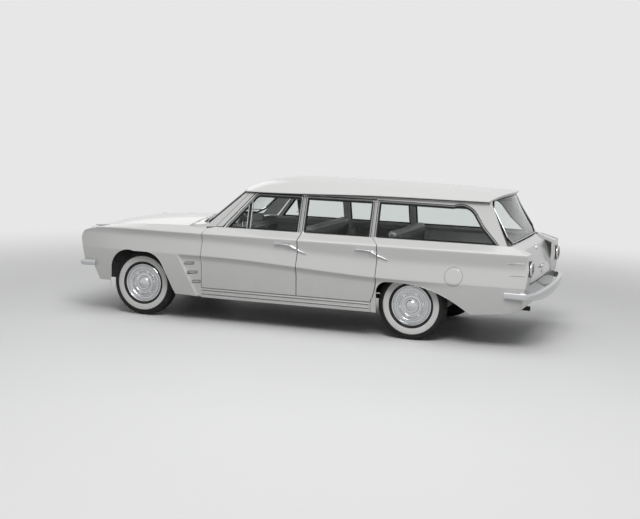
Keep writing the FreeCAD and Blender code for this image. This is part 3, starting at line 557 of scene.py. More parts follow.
def side_keys(x, hollow_low=True):
    """Heights, half widths and bend sizes of the side's key lines at x."""
    wide = half_width(x)
    crease = ease(x, REAR_AXLE, FRONT_CUT, 0.588, 0.672)
    cove = ease(x, REAR_AXLE, FRONT_AXLE, 0.755, 0.834)
    shoulder = 0.895 - 0.048 * max((x - FRONT_AXLE - 0.25) / 0.4, 0.0) ** 3
    cove = min(cove, shoulder - 0.030)
    fade = ease(x, 1.75, NOSE_END, 1.0, 0.2)
    behind = ease(x, REAR_AXLE - 0.7, REAR_AXLE + 0.3, 1.0, 0.0)
    low_inset = 0.030 * (1 - behind) + 0.005 * behind
    foot_inset = 0.046 * (1 - behind) + 0.034 * behind
    if not hollow_low:
        low_inset, foot_inset = 0.001, 0.016
    top_half = belt_half(x)
    top = BELT
    if x > FRONT_CUT + 0.001:
        top_half = 0.743
        top = hood_edge(x)
    heights = [0.250, crease - 0.045, crease, cove, shoulder, top]
    widths = [wide - foot_inset, wide - low_inset, wide, wide - 0.046 * fade, wide - 0.020 * fade, top_half]
    bends = [0.0, 0.028, 0.005, 0.030, 0.010, 0.0]
    for k in range(1, 5):
        bends[k] = min(bends[k], 0.45 * (heights[k] - heights[k - 1]), 0.45 * (heights[k + 1] - heights[k]))
    return heights, widths, bends


def bend_height(reach, size):
    """Nothing before a bend, a straight line after it and a parabola between."""
    if reach <= -size:
        return 0.0
    if reach >= size:
        return reach
    return (reach + size) ** 2 / (4 * size)


def section_y(x, z, hollow_low=True):
    heights, widths, bends = side_keys(x, hollow_low)
    slopes = [(widths[k + 1] - widths[k]) / (heights[k + 1] - heights[k]) for k in range(5)]
    y = widths[0] + slopes[0] * (z - heights[0])
    for k in range(1, 5):
        y += (slopes[k] - slopes[k - 1]) * bend_height(z - heights[k], bends[k])
    return y


RECESS_FOOT = (1.032, 0.334)
RECESS_HEAD = (1.202, 0.653)
RECESS_EDGE = 0.012


def recess_x(z):
    """The slanted front edge of the hollow panel behind the front wheel."""
    (foot_x, foot_z), (head_x, head_z) = RECESS_FOOT, RECESS_HEAD
    return foot_x + (z - foot_z) * (head_x - foot_x) / (head_z - foot_z)


def side_y(x, z):
    ahead = min(max((x - recess_x(z)) / RECESS_EDGE, 0.0), 1.0)
    ahead = ahead * ahead * (3 - 2 * ahead)
    return section_y(x, z) * (1 - ahead) + section_y(x, z, False) * ahead


def row_heights(x):
    """Heights of a grid's rows at x, close together round each bend."""
    heights, widths, bends = side_keys(x)
    rows = [heights[0]]
    for k in range(1, 6):
        start, end = rows[-1], heights[k] - bends[k]
        rows += [start + (end - start) * step / 6 for step in range(1, 7)]
        if k < 5:
            rows += [heights[k] + bends[k] * part for part in (-0.5, 0.0, 0.5, 1.0)]
    return rows


ROWS = len(row_heights(0.0)) - 1


def side_grid(name, columns, at_x):
    """A grid on the side whose columns stand at at_x(u, z)."""
    def place(u, v):
        row = min(int(round(v * ROWS)), ROWS)
        x = at_x(u, 0.6)
        for _ in range(2):
            z = row_heights(x)[row]
            x = at_x(u, z)
        return Vector((x, side_y(x, z), z))

    return shaped(name, columns, ROWS, place)


# %% [markdown]
# ## Cutting a panel out
# A panel's outline is drawn in side view, with arcs as short runs. Pulled across the car it is
# a cutter: a Boolean keeps what lies inside, or takes away a wheel opening.

# %% Outlines and cutters


def arc(start, middle, end, count=10):
    """Points on the circle through three (x, z) points, without the first."""
    (ax, az), (bx, bz), (cx, cz) = start, middle, end
    d = 2 * (ax * (bz - cz) + bx * (cz - az) + cx * (az - bz))
    ux = ((ax * ax + az * az) * (bz - cz) + (bx * bx + bz * bz) * (cz - az) + (cx * cx + cz * cz) * (az - bz)) / d
    uz = ((ax * ax + az * az) * (cx - bx) + (bx * bx + bz * bz) * (ax - cx) + (cx * cx + cz * cz) * (bx - ax)) / d
    radius = math.hypot(ax - ux, az - uz)
    first = math.atan2(az - uz, ax - ux)
    turn_mid = (math.atan2(bz - uz, bx - ux) - first) % (2 * math.pi)
    turn_end = (math.atan2(cz - uz, cx - ux) - first) % (2 * math.pi)
    if turn_mid > turn_end:
        turn_end -= 2 * math.pi
    turns = [first + turn_end * k / count for k in range(1, count + 1)]
    return [(ux + radius * math.cos(turn), uz + radius * math.sin(turn)) for turn in turns]


def traced(entries):
    """An outline from (x, z) corners and (x, z, x, z) arcs."""
    points = [entries[0]]
    for entry in entries[1:]:
        if len(entry) == 4:
            points += arc(points[-1], entry[:2], entry[2:])
        else:
            points.append(entry)
    return points


ARCH_FRONT = traced([
    (1.200, 0.190), (1.386, 0.548), (1.456, 0.632, 1.592, 0.673), (1.722, 0.672), (1.914, 0.632, 1.984, 0.500),
    (1.992, 0.190),
])
ARCH_REAR = traced([
    (-0.871, 0.190), (-0.861, 0.440), (-0.893, 0.528, -0.973, 0.561), (-1.373, 0.518, -1.783, 0.306),
    (-1.873, 0.190),
])


def cutter(outline, low_y=0.5, high_y=1.1):
    """A block with the outline's section, from low_y to high_y."""
    obj = drawn("cutter", [(x, low_y, z) for x, z in outline], closed=True)
    editing(obj, "FACE")
    bpy.ops.mesh.extrude_region_move(TRANSFORM_OT_translate={"value": (0, high_y - low_y, 0)})
    return outward(obj)


def cut(obj, outline, operation, crossed=False):
    """crossed is for a sheet whose wall cuts into itself at a tight bend."""
    tool = cutter(outline)
    modified(obj, "BOOLEAN", object=tool, operation=operation, solver="EXACT", use_self=crossed)
    bpy.data.objects.remove(tool)


def panel_of(name, columns, at_x, outline, holes=(), wall=0.010, crossed=False):
    """A sheet-metal panel: a grid with a wall, cut to its outline, its edges turned."""
    obj = side_grid(name, columns, at_x)
    editing(obj)
    bpy.ops.mesh.normals_make_consistent(inside=False)
    deselect()
    walled(obj, ALONG_Y, wall)
    cut(obj, outline, "INTERSECT", crossed=crossed)
    for hole in holes:
        cut(obj, hole, "DIFFERENCE")
    return smooth(obj, 30)


# %% [markdown]
# ## Sheet metal
# Fenders, doors, quarters and sills are cut from that one surface, so the lines run through from
# panel to panel. What the CAD holds behind the skin, such as frames, posts and inner walls, stays
# as a smooth copy without its outer faces.

# %% Side panels


def between(points, share):
    """The place at a share of the way along a list of points."""
    at = min(max(share, 0.0), 1.0) * (len(points) - 1)
    low = min(int(at), len(points) - 2)
    first, second = Vector(points[low]), Vector(points[low + 1])
    return first + (second - first) * (at - low)


def evenly(low, high):
    return lambda u, z: low + (high - low) * u


def fender_x(u, z):
    """Columns of the fender, which lean with the recess's edge."""
    edge = recess_x(z)
    low, high = FRONT_CUT + 0.0015, NOSE_END
    if u < 0.14:
        return low + (edge - low) * u / 0.14
    if u < 0.22:
        return edge + RECESS_EDGE * (u - 0.14) / 0.08
    return edge + RECESS_EDGE + (high - edge - RECESS_EDGE) * (u - 0.22) / 0.78


FENDER_OUTLINE = traced([
    (0.964, 0.264), (0.964, 1.018), (2.276, 1.018), (2.221, 0.883), (2.278, 0.858), (2.334, 0.800, 2.342, 0.760),
    (2.320, 0.640), (2.292, 0.520), (2.192, 0.500), (2.118, 0.346), (1.992, 0.345), (1.992, 0.280),
])
DOOR_FRONT_OUTLINE = [(-0.051, 0.351), (0.956, 0.351), (0.956, 0.938), (0.856, 0.9575), (-0.051, 0.9575)]
DOOR_REAR_OUTLINE = traced([
    (-0.806, 0.351), (-0.059, 0.351), (-0.059, 0.9575), (-0.768, 0.9575), (-0.858, 0.898), (-0.858, 0.600),
    (-0.846, 0.470, -0.806, 0.352),
])
QUARTER_OUTLINE = traced([
    (-0.866, 0.600), (-0.866, 0.898), (-0.781, 0.9575), (-2.117, 0.9575), (-2.296, 0.893), (-2.308, 0.760),
    (-2.288, 0.600), (-2.248, 0.393), (-2.104, 0.338), (-1.779, 0.306), (-1.779, 0.200), (-0.814, 0.200),
    (-0.814, 0.343), (-0.854, 0.470, -0.866, 0.600),
])
SILL_OUTLINE = [(-0.8095, 0.2515), (0.9635, 0.2515), (0.9635, 0.343), (-0.8095, 0.343)]

side_panels = {
    "fender": panel_of("fender_left_panel", 110, fender_x, FENDER_OUTLINE, [ARCH_FRONT], 0.006, True),
    "door_front": panel_of("door_front_left_panel", 60, evenly(-0.07, 0.97), DOOR_FRONT_OUTLINE),
    "door_rear": panel_of("door_rear_left_panel", 50, evenly(-0.88, -0.04), DOOR_REAR_OUTLINE),
    "quarter": panel_of("quarter_left_panel", 96, evenly(-2.32, -0.76), QUARTER_OUTLINE, [ARCH_REAR], 0.008),
    "sill": panel_of("sill_left_panel", 40, evenly(-0.83, 0.98), SILL_OUTLINE),
}
print("side panels:", {key: len(obj.data.polygons) for key, obj in side_panels.items()})


def skinned(node_name, body, outer_gone=False, keep_below=None):
    """A smooth copy of a CAD node, which it replaces, without its outer side faces or its top."""
    obj = copied(nodes[node_name], node_name + "_skin")
    editing(obj)
    bpy.ops.mesh.remove_doubles(threshold=0.00002)
    if outer_gone:
        def is_outer(face):
            spot = face.calc_center_median()
            outside = abs(spot.y) > section_y(spot.x, min(spot.z, BELT)) - 0.014
            return spot.z < BELT + 0.001 and outside and abs(face.normal.y) + abs(face.normal.z) > 0.4

        pick(obj, "faces", is_outer)
        bpy.ops.mesh.delete(type="FACE")
    if keep_below is not None:
        bpy.ops.mesh.select_all(action="SELECT")
        bpy.ops.mesh.bisect(plane_co=(0, 0, keep_below), plane_no=(0, 0, 1), clear_outer=True)
    deselect()
    obj.data.materials.clear()
    return finished(smooth(obj, 28), body, *PAINT, node_name)


for side in SIDES:
    for part, body in (("door_front", "door_front_" + side), ("door_rear", "door_rear_" + side), ("fender", BODY),
                       ("quarter", BODY), ("sill", BODY)):
        source = side_panels[part]
        obj = source if side == "left" else flipped(source, "%s_right_panel" % part)
        replaced = [part + "_" + side] if part in ("fender", "quarter") else []
        finished(obj, body, *PAINT, *replaced)
    for end in ("front", "rear"):
        skinned("door_%s_%s" % (end, side), "door_%s_%s" % (end, side), True, 0.954)
    skinned("side_frame_" + side, BODY, True, 0.940)
for name in ("cowl", "nose_panel"):
    skinned(name, BODY)

# The tail pipe ends further forward than on the frame, under the body.
PIPE_END = -2.30
PIPE_SHORTER = 0.23
pipe = skinned("exhaust", BODY)
pipe.data.materials[0] = chassis_black
pick(pipe, "verts", lambda vertex: vertex.co.x < PIPE_END)
bpy.ops.transform.translate(value=(PIPE_SHORTER, 0, 0))
deselect()

# %% [markdown]
# ### Hood, roof and tailgate
# These are crowned sheets. Each is a fine grid laid on smooth curves, with a wall below it, so
# that light runs over it without a ripple. The roof is a little higher at the back than the
# packed one, and the tailgate has a shelf below its glass, as in the photograph.

# %% Crowned panels
ROOF_HALF = 0.664


def hood_place(u, v):
    across = 2 * v - 1
    x = HOOD_REAR + (HOOD_FRONT - 0.030 * across * across - HOOD_REAR) * u
    ahead = (x - HOOD_REAR) / (HOOD_FRONT - HOOD_REAR)
    middle = 1.007 - 0.141 * (0.42 * ahead + 0.58 * ahead ** 5)
    edge = hood_edge(x)
    return Vector((x, across * 0.735, edge + (middle - edge) * (1 - across * across)))


def roof_rise(u):
    climb = 1 - (1 - min(u / 0.2, 1.0)) ** 3
    return 0.036 + 0.089 * climb - 0.076 * max(u - 0.2, 0.0) - 0.010 * max((u - 0.9) / 0.1, 0.0) ** 2


def roof_place(u, v):
    across = 2 * v - 1
    front = 0.662 - 0.078 * across * across
    rear = -1.990 + 0.115 * across * across
    x = front + (rear - front) * u
    return Vector((x, across * ROOF_HALF, drip_height(x) + roof_rise(u) * (1 - abs(across) ** 3.2)))


def gate_place(u, v):
    """Upright below, with a shelf that leans in to the glass above it."""
    across = 2 * v - 1
    z = 0.600 + 0.352 * u
    x = -2.291 + 0.082 * ((min(z, 0.903) - 0.600) / 0.303) ** 1.6 + 0.094 * max(z - 0.903, 0.0) / 0.049
    return Vector((x + 0.018 * across * across, across * 0.640, z))


def crowned(name, columns, rows, place, wall, body, replaced):
    obj = shaped(name, columns, rows, place)
    walled(obj, (-0.5, 0, 1), wall)
    finished(smooth(obj, 40), body, *PAINT, replaced)


crowned("hood_panel", 48, 48, hood_place, 0.020, "hood", "hood")
crowned("roof_panel", 72, 64, roof_place, 0.014, BODY, "roof")
crowned("tailgate_panel", 36, 48, gate_place, 0.056, "tailgate", "tailgate")

# %% [markdown]
# ## The upper body
# Window frames, pillars and panes lie on one leaning plane. A sheet on that plane is cut to the
# outline of each frame, and the window is cut out of it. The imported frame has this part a
# little lower at the back and the pillar further forward than the photograph shows, so these
# pieces are drawn anew and stand for it.

# %% The leaning plane of the windows


def on_frame(x, z, lift=0.0):
    """The outer face of the leaning window frames."""
    foot = belt_half(x)
    return Vector((x, foot + (0.640 - foot) * (z - 0.940) / 0.382 - 0.002 + lift, z))


def frame_sheet(name, outline, holes=(), inset=0.0, wall=0.024):
    """A wall on the windows' plane, cut to an outline, with holes."""
    low, high = min(x for x, z in outline) - 0.02, max(x for x, z in outline) + 0.02

    def place(u, v):
        return on_frame(low + (high - low) * u, 0.90 + 0.52 * v, -inset)

    obj = shaped(name, max(round((high - low) / 0.06), 4), 10, place)
    walled(obj, ALONG_Y, wall)
    cut(obj, outline, "INTERSECT")
    for hole in holes:
        cut(obj, hole, "DIFFERENCE")
    return smooth(obj, 30)


def under_roof(from_x, to_x, drop=0.009):
    """Points just below the roof's edge between two places."""
    places = [from_x + (to_x - from_x) * k / 12 for k in range(13)]
    return [(x, drip_height(x) - drop) for x in places]


WINDOW_TOP = 1.292
FRONT_WINDOW = traced([
    (FRAME_CUT + 0.0315, BELT), (0.738, BELT), (0.498, 1.242), (0.458, 1.284, 0.408, WINDOW_TOP),
    (FRAME_CUT + 0.0315, WINDOW_TOP),
])
REAR_WINDOW = [(-0.742, BELT), (FRAME_CUT - 0.0315, BELT), (FRAME_CUT - 0.0315, WINDOW_TOP), (-0.742, WINDOW_TOP)]
CARGO_WINDOW = traced([
    (-1.983, BELT), (-0.805, BELT), (-0.805, WINDOW_TOP), (-1.533, 1.284), (-1.707, 1.268, -1.769, 1.200),
    (-1.833, 1.110),
])
FRONT_FRAME = traced([
    (FRAME_CUT + 0.0075, 0.930), (0.806, 0.930), (0.782, 0.956), (0.522, 1.264), (0.482, 1.300, 0.422, 1.308),
    (FRAME_CUT + 0.0075, 1.308),
])
REAR_FRAME = [(-0.766, 0.930), (FRAME_CUT - 0.0075, 0.930), (FRAME_CUT - 0.0075, 1.308), (-0.766, 1.308)]
CARGO_FRAME = [(-0.781, 0.930)] + under_roof(-0.781, -1.872) + [(-1.885, 1.342), (-2.090, 0.930)]
PILLAR = [(0.964, 0.930), (1.150, 0.930), (1.150, 0.946), (0.952, 0.979), (0.577, 1.322), (0.483, 1.322),
          (0.794, 0.966), (0.964, 0.952)]
HEADER = [(-0.781, 1.316)] + under_roof(-0.781, 0.400) + [(0.400, 1.316)]

# %% Frames, pillars and panes
FRONT_DOOR = "door_front_SIDE"
REAR_DOOR = "door_rear_SIDE"


def both_sides(obj, body, material, slot, *replaced):
    """Finishes a left piece and its mirror image. SIDE in a name stands for left or right."""
    for side in SIDES:
        piece = obj if side == "left" else flipped(obj, obj.name.replace("left", "right"))
        finished(piece, body.replace("SIDE", side), material, slot, *[name.replace("SIDE", side) for name in replaced])


for name, outline, window, body in (("front", FRONT_FRAME, FRONT_WINDOW, FRONT_DOOR),
                                    ("rear", REAR_FRAME, REAR_WINDOW, REAR_DOOR),
                                    ("cargo", CARGO_FRAME, CARGO_WINDOW, BODY)):
    both_sides(frame_sheet("upper_frame_%s_left" % name, outline, [window]), body, *PAINT)
    pane = frame_sheet("pane_%s_left" % name, window, inset=0.0095, wall=0.005)
    if name == "cargo":
        both_sides(pane, body, *GLASS)
        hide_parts("cargo_glass")
    else:
        both_sides(pane, body, *GLASS, "glass_%s_SIDE" % name)
both_sides(frame_sheet("pillar_a_left", PILLAR, wall=0.034), BODY, *PAINT)
both_sides(frame_sheet("header_left", HEADER, wall=0.036), BODY, *PAINT)
inner_rail = [(0.470, 1.268), (0.520, 1.300)] + under_roof(0.490, -1.840, 0.030) + [(-1.850, 1.268)]
both_sides(frame_sheet("inner_rail_left", inner_rail, inset=0.032, wall=0.022), BODY, bolster_vinyl, "trim")
for name, low, high in (("b", FRAME_CUT - 0.030, FRAME_CUT + 0.030), ("c", -0.800, -0.752)):
    outline = [(low, 0.905), (high, 0.905), (high, 1.300), (low, 1.300)]
    both_sides(frame_sheet("inner_post_%s_left" % name, outline, inset=0.030, wall=0.018), BODY, *PAINT)


def windshield_edge(u, v):
    foot = Vector((1.112 - 0.150 * v * v, 0.7185 * v, 1.004 - 0.025 * v * v))
    edge = roof_place(0, (0.9 * v + 1) / 2)
    head = Vector((edge.x - 0.010, 0.607 * v, edge.z - 0.016))
    return foot + (head - foot) * u


def rear_glass_edge(u, v):
    foot = Vector((-2.103 + 0.010 * v * v, 0.690 * v, 0.962))
    edge = roof_place(1, (0.8886 * v + 1) / 2)
    head = Vector((edge.x + 0.040, 0.590 * v, edge.z - 0.029))
    return foot + (head - foot) * u


for name, place, sign in (("windshield", windshield_edge, 1), ("rear_window", rear_glass_edge, -1)):
    pane = shaped(name + "_pane", 12, 24, lambda u, v: place(u, 2 * v - 1))
    walled(pane, (sign, 0, 0), 0.006)
    finished(smooth(pane, 60), BODY, *GLASS, name)

# %% The face beside the tailgate


def across_car(name, outline, low_y):
    """A bar across one side from low_y out to just inside the side panel."""
    bar = cutter(outline, low_y, 1.0)
    for vertex in bar.data.vertices:
        if vertex.co.y > 0.99:
            vertex.co.y = section_y(vertex.co.x, min(vertex.co.z, BELT)) - 0.0085
    take(bar)
    return named(name)


beside = [(-2.115, 0.955), (-2.294, 0.890), (-2.306, 0.760), (-2.290, 0.588), (-2.248, 0.588), (-2.266, 0.760),
          (-2.264, 0.868), (-2.115, 0.930)]
below = [(-2.290, 0.590), (-2.248, 0.380), (-2.218, 0.380), (-2.218, 0.590)]
rear_face = together("rear_face_left", [across_car("beside", beside, 0.648), across_car("below", below, 0.0)])
both_sides(smooth(rear_face, 30), BODY, *PAINT)
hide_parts("rear_panel")

# %% [markdown]
# ## Strips that follow a surface
# Window frames, seals and mouldings are narrow strips with a rounded face. Each follows a line
# drawn in side view, and lies on a surface given as a function: the panels below the windows,
# or the leaning plane of the window frames above. Corners are mitred, as on pressed trim.

# %% Helper for strips


def on_panel(x, z, lift=0.0):
    return Vector((x, side_y(x, z) + lift, z))


def spread(points, closed=False, step=0.03):
    """Adds points along the runs of a line, no further apart than step."""
    ends = list(points) + ([points[0]] if closed else [])
    result = [ends[0]]
    for (ax, az), (bx, bz) in zip(ends, ends[1:]):
        parts = max(int(math.hypot(bx - ax, bz - az) / step), 1)
        result += [(ax + (bx - ax) * k / parts, az + (bz - az) * k / parts) for k in range(1, parts + 1)]
    return result[:-1] if closed else result


def strip(name, points, widths, lift=0.004, surface=on_panel, closed=False, shift=0.0, depth=0.002, rows=4):
    """A strip along (x, z) points. shift moves it sideways, outwards on a closed line."""
    line = [Vector(point) for point in spread(points, closed)]
    count = len(line)
    area = sum(a.x * b.y - b.x * a.y for a, b in zip(line, line[1:] + line[:1]))
    out = -1 if closed and area > 0 else 1
    sideways = []
    for k, point in enumerate(line):
        before = line[k - 1] if k or closed else point - (line[1] - point)
        after = line[(k + 1) % count] if k < count - 1 or closed else point + (point - before)
        first, second = (point - before).normalized(), (after - point).normalized()
        middle = (first + second).normalized()
        reach = min(1 / max(middle.dot(first), 0.3), 1.8)
        sideways.append(Vector((-middle.y, middle.x)) * reach * out)
    columns = count if closed else count - 1
    widths = widths if isinstance(widths, (list, tuple)) else (widths, widths)

    def place(u, v):
        k = round(u * columns) % count
        width = between([(w, 0) for w in widths], u).x
        x, z = line[k] + sideways[k] * (shift + width * (v - 0.5))
        crown = math.sin(math.pi * v)
        return surface(x, z, lift * crown - 0.001 * (1 - crown))

    obj = outward(shaped(name, columns, rows, place))
    return smooth(walled(obj, ALONG_Y, depth), 50)

# %% [markdown]
# ## Window frames
# Each window has a bright pressed frame, a rubber seal outside it and a gasket on the glass.
# The front window is split by the vent window's two uprights, and the cargo window's sloping
# rear edge has a rounded top corner.

# %% Window frames and seals
for name, window, body in (("front", FRONT_WINDOW, FRONT_DOOR), ("rear", REAR_WINDOW, REAR_DOOR),
                           ("cargo", CARGO_WINDOW, BODY)):
    frame_strip = strip("window_frame_%s_left" % name, window, 0.011, 0.006, on_frame, True, 0.004, 0.003)
    both_sides(frame_strip, body, *BRIGHT)
    seal_strip = strip("window_seal_%s_left" % name, window, 0.009, 0.003, on_frame, True, 0.0145)
    both_sides(seal_strip, body, *SEAL)
    gasket = strip("window_gasket_%s_left" % name, window, 0.012, -0.004, on_frame, True, -0.006, 0.012, 2)
    both_sides(gasket, body, *SEAL)

uprights = [strip("upright", [(low, 0.962), (low + 0.0095, high)], 0.009, 0.003, on_frame, depth=0.016)
            for low, high in ((0.531, 1.188), (0.498, 1.226))]
uprights.append(rod("latch", [on_frame(0.520, 1.020, -0.020), on_frame(0.560, 1.010, -0.020)], 0.005))
both_sides(together("vent_window_uprights_left", uprights), FRONT_DOOR, *BRIGHT)
both_sides(strip("vent_window_seal_left", [(0.5145, 0.962), (0.524, 1.208)], 0.024, -0.003, on_frame, depth=0.010),
           FRONT_DOOR, *SEAL)
for name, x, body in (("b", FRAME_CUT + 0.0125, FRONT_DOOR), ("c", -0.7605, REAR_DOOR)):
    line = strip("pillar_line_%s_left" % name, [(x, 0.966), (x, 1.300)], 0.007, 0.003, on_frame)
    both_sides(line, body, *BRIGHT)
both_sides(strip("pillar_line_a_left", [(0.860, 0.966), (0.556, 1.306)], 0.012, 0.005, on_frame), BODY, *BRIGHT)
print("window strips:", len([obj for obj in bpy.data.objects if "window" in obj.name]))

# %% [markdown]
# ### Windshield and rear window trim
# Both panes sit in a rubber channel with a bright bead pressed into it. The bead follows the
# edge of the glass all the way round, so its path comes from the same curves as the pane.

# %% Glass edges


def round_edge(place, push, margin=0.012):
    """Points round a pane just inside its edge, moved outwards by push."""
    low, high = margin, 1 - margin
    route = [(low, -1 + v / 8) for v in range(1, 16)] + [(k / 6, 0.985) for k in range(1, 6)]
    route += [(high, 1 - v / 8) for v in range(1, 16)] + [(1 - k / 6, -0.985) for k in range(1, 6)]
    return [place(u, v) + Vector(push) for u, v in route + route[:1]]


for name, place, push in (("windshield", windshield_edge, (0.010, 0, 0.010)),
                          ("rear_window", rear_glass_edge, (-0.008, 0, 0.006))):
    finished(rod(name + "_channel", round_edge(place, (0, 0, 0)), 0.011, 8), BODY, *SEAL)
    finished(rod(name + "_bead", round_edge(place, push), 0.0055, 8), BODY, *BRIGHT)

# %% [markdown]
# ### Gutter
# A rolled gutter runs along the roof's edge, with a line of sealer below it.

# %% Gutter
edge_points = [roof_place(u / 40, 1) for u in range(41)]
gutter = rod("gutter_left", [point + Vector((0, 0.001, -0.004)) for point in edge_points], 0.0055, 8)
both_sides(gutter, BODY, *PAINT)
sealer = rod("gutter_sealer_left", [point + Vector((0, -0.004, -0.0135)) for point in edge_points], 0.004, 6)
both_sides(sealer, BODY, *SEAL)

# %% [markdown]
# ## Side trim
# Long spear-shaped pulls with a round button cross the rear edge of each door, so their tails sit
# on the next panel. Three bars stand behind the front wheel on wider dark strips of painted shade,
# and thin bright lines run along the sill, with painted shadow strips below them, and ahead of the tail lamps.

# %% Handles, bars and lines


def button(name, place, radius, along, axis=ALONG_Y):
    outline = [(0.0, along), (radius * 0.75, along * 0.94), (radius * 0.95, along * 0.75), (radius, along * 0.4),
               (radius, -0.004), (0.0, -0.004)]
    return smooth(turned(name, outline, place, axis, 24), 40)


for start, cut_x, body, next_body, name in ((0.0, CENTRE_CUT, FRONT_DOOR, REAR_DOOR, "front"),
                                            (-0.8245, REAR_CUT, REAR_DOOR, BODY, "rear")):
    at = [(start + 0.178, 0.848), (start + 0.110, 0.847), (start + 0.024, 0.840), (cut_x + 0.0065, 0.806)]
    pull = strip("handle_%s_left" % name, at, (0.007, 0.021, 0.033, 0.031), 0.022, depth=0.006, rows=8)
    push = button("push", on_panel(start + 0.024, 0.840, 0.015), 0.011, 0.014)
    both_sides(together("handle_%s_left" % name, [pull, push]), body, *CHROME)
    at = [(cut_x - 0.0065, 0.799), (start - 0.090, 0.787), (start - 0.145, 0.769)]
    tail = strip("handle_tail_%s_left" % name, at, (0.029, 0.019, 0.004), 0.017, depth=0.005, rows=8)
    both_sides(tail, next_body, *CHROME)

BAR_ENDS = ([(1.149, 0.584), (1.037, 0.592)], [(1.115, 0.494), (1.002, 0.503)], [(1.062, 0.405), (0.968, 0.412)])
bars = [strip("bar", ends, (0.014, 0.024, 0.014), 0.012, depth=0.004, rows=6) for ends in BAR_ENDS]
both_sides(together("fender_bars_left", bars), BODY, *CHROME)
# A wider dark strip under each bar is painted shade round it.
slots = [strip("slot", ends, (0.030, 0.038, 0.030), 0.0025, depth=0.001) for ends in BAR_ENDS]
both_sides(together("fender_bar_slots_left", slots), BODY, *SEAL)
lines = [strip("line", [(-0.795, z), (0.955, z)], 0.011, 0.006) for z in (0.330, 0.292)]
both_sides(together("sill_lines_left", lines), BODY, *CHROME)
shadows = [strip("shadow", [(-0.795, z), (0.955, z)], 0.006, 0.0015, depth=0.001) for z in (0.3215, 0.2835)]
both_sides(together("sill_shadows_left", shadows), BODY, *SEAL)
spears = [strip("spear", ends, (0.003, 0.009, 0.009), 0.006, depth=0.003) for ends in (
    [(-2.117, 0.807), (-2.262, 0.815)], [(-2.122, 0.700), (-2.290, 0.701)])]
both_sides(together("tail_spears_left", spears), BODY, *CHROME)

for name, outline, ends in (("front", ARCH_FRONT, (0.285, 0.360)), ("rear", ARCH_REAR, (0.350, 0.322))):
    middle = sum(x for x, z in outline) / len(outline)
    lip = [(x, z) for x, z in spread(outline) if z > (ends[0] if (x < middle) == (name == "front") else ends[1])]
    both_sides(rod("arch_lip_%s_left" % name, [on_panel(x, z, -0.003) for x, z in lip], 0.0045, 8), BODY, *PAINT)

ornament = turned("fender_ornament_left", [(0.0, 0.094), (0.0045, 0.070), (0.0075, 0.020), (0.0080, -0.050),
                                           (0.0060, -0.088), (0.0, -0.092)], (2.132, 0.762, 0.899), (-1, 0, 0.06), 16)
both_sides(smooth(ornament, 60), BODY, *CHROME)

# %% [markdown]
# ### The fuel door
# A round flap on the left rear quarter, flush with the metal and ringed by a thin dark gap.

# %% Fuel door
FUEL_DOOR = Vector((-1.614, 0.653))
FUEL_DOOR_RADIUS = 0.082


def round_fuel_door(turn, radius):
    return FUEL_DOOR + Vector((math.cos(turn), math.sin(turn))) * radius


def fuel_door_place(u, v):
    spot = round_fuel_door(2 * math.pi * u, FUEL_DOOR_RADIUS * v)
    return on_panel(spot.x, spot.y, 0.0035 - 0.003 * v ** 10)


flap = outward(shaped("fuel_door", 64, 12, fuel_door_place))
walled(flap, ALONG_Y, 0.003)
finished(smooth(flap, 40), BODY, *PAINT)
ring = [tuple(round_fuel_door(k * math.pi / 32, FUEL_DOOR_RADIUS + 0.0035)) for k in range(64)]
finished(strip("fuel_door_gap", ring, 0.005, 0.0012, closed=True, rows=2), BODY, *SEAL)

# %% [markdown]
# ## Bumpers
# A bumper is one chrome bar, bowed across the car, turned round the corner and run back along
# the side. Its section has two grooves on the shelf, so it is a grid along the path and round
# the section, closed at both ends.

# %% Bumpers
BUMPER_TOP = 0.544


def bumper_path(reach):
    """(setback, half width, depth) from the middle to the end of the wrap."""
    path = [(0.040 * v ** 2.2 + 0.030 * v ** 12, v * 0.871, 0.118 * (1 - 0.5 * v * v)) for v in (
        0.0, 0.1, 0.2, 0.3, 0.4, 0.5, 0.6, 0.7, 0.8, 0.88, 0.93)]
    path += [(0.055, 0.838, 0.064), (0.062, 0.862, 0.062), (0.075, 0.884, 0.061), (0.094, 0.899, 0.060),
             (0.118, 0.907, 0.060)]
    path += [(0.118 + (reach - 0.118) * k / 5, 0.908 - 0.003 * k / 5, 0.060 - 0.004 * k / 5) for k in range(1, 6)]
    return [(a, -y, d) for a, y, d in reversed(path[1:])] + path


BUMPER_SECTION = [
    (-0.033, -0.002), (-0.030, 0.0), (-0.027, 0.0), (-0.0255, -0.003), (-0.0225, -0.003), (-0.021, 0.0),
    (-0.015, 0.0), (-0.0135, -0.003), (-0.0105, -0.003), (-0.009, -0.001), (-0.003, -0.006), (-0.0005, -0.014),
    (0.0, -0.3), (0.0, -0.6), (-0.004, -0.82), (-0.012, -0.96), (-0.022, -1.0), (-0.027, -0.99), (-0.027, -0.9),
    (-0.020, -0.8), (-0.020, -0.3), (-0.033, -0.22),
]


def made_bumper(name, sign, reach, root_x):
    path = bumper_path(reach)
    count = len(BUMPER_SECTION)

    def place(u, v):
        k = round(u * (len(path) - 1))
        setback, y, depth = path[k]
        before, after = path[max(k - 1, 0)], path[min(k + 1, len(path) - 1)]
        along = Vector((before[0] - after[0], after[1] - before[1])).normalized()
        out, drop = BUMPER_SECTION[round(v * count) % count]
        drop = drop * depth if drop < -0.02 else drop
        spot = Vector((HALF_LENGTH - setback, y)) + Vector((along.y, -along.x)) * out
        return Vector((sign * spot.x, spot.y, BUMPER_TOP + drop))

    bar = outward(shaped(name, len(path) - 1, count, place))
    editing(bar)
    bpy.ops.mesh.fill_holes(sides=0)
    outward(bar)
    low_x, high_x = sorted((root_x, sign * (HALF_LENGTH - 0.030)))
    brackets = [block("bracket", (low_x, y - 0.022, 0.452), (high_x, y + 0.022, 0.470), 0.003)
                for y in (-0.365, 0.365)]
    return smooth(together(name, [bar] + brackets), 30)


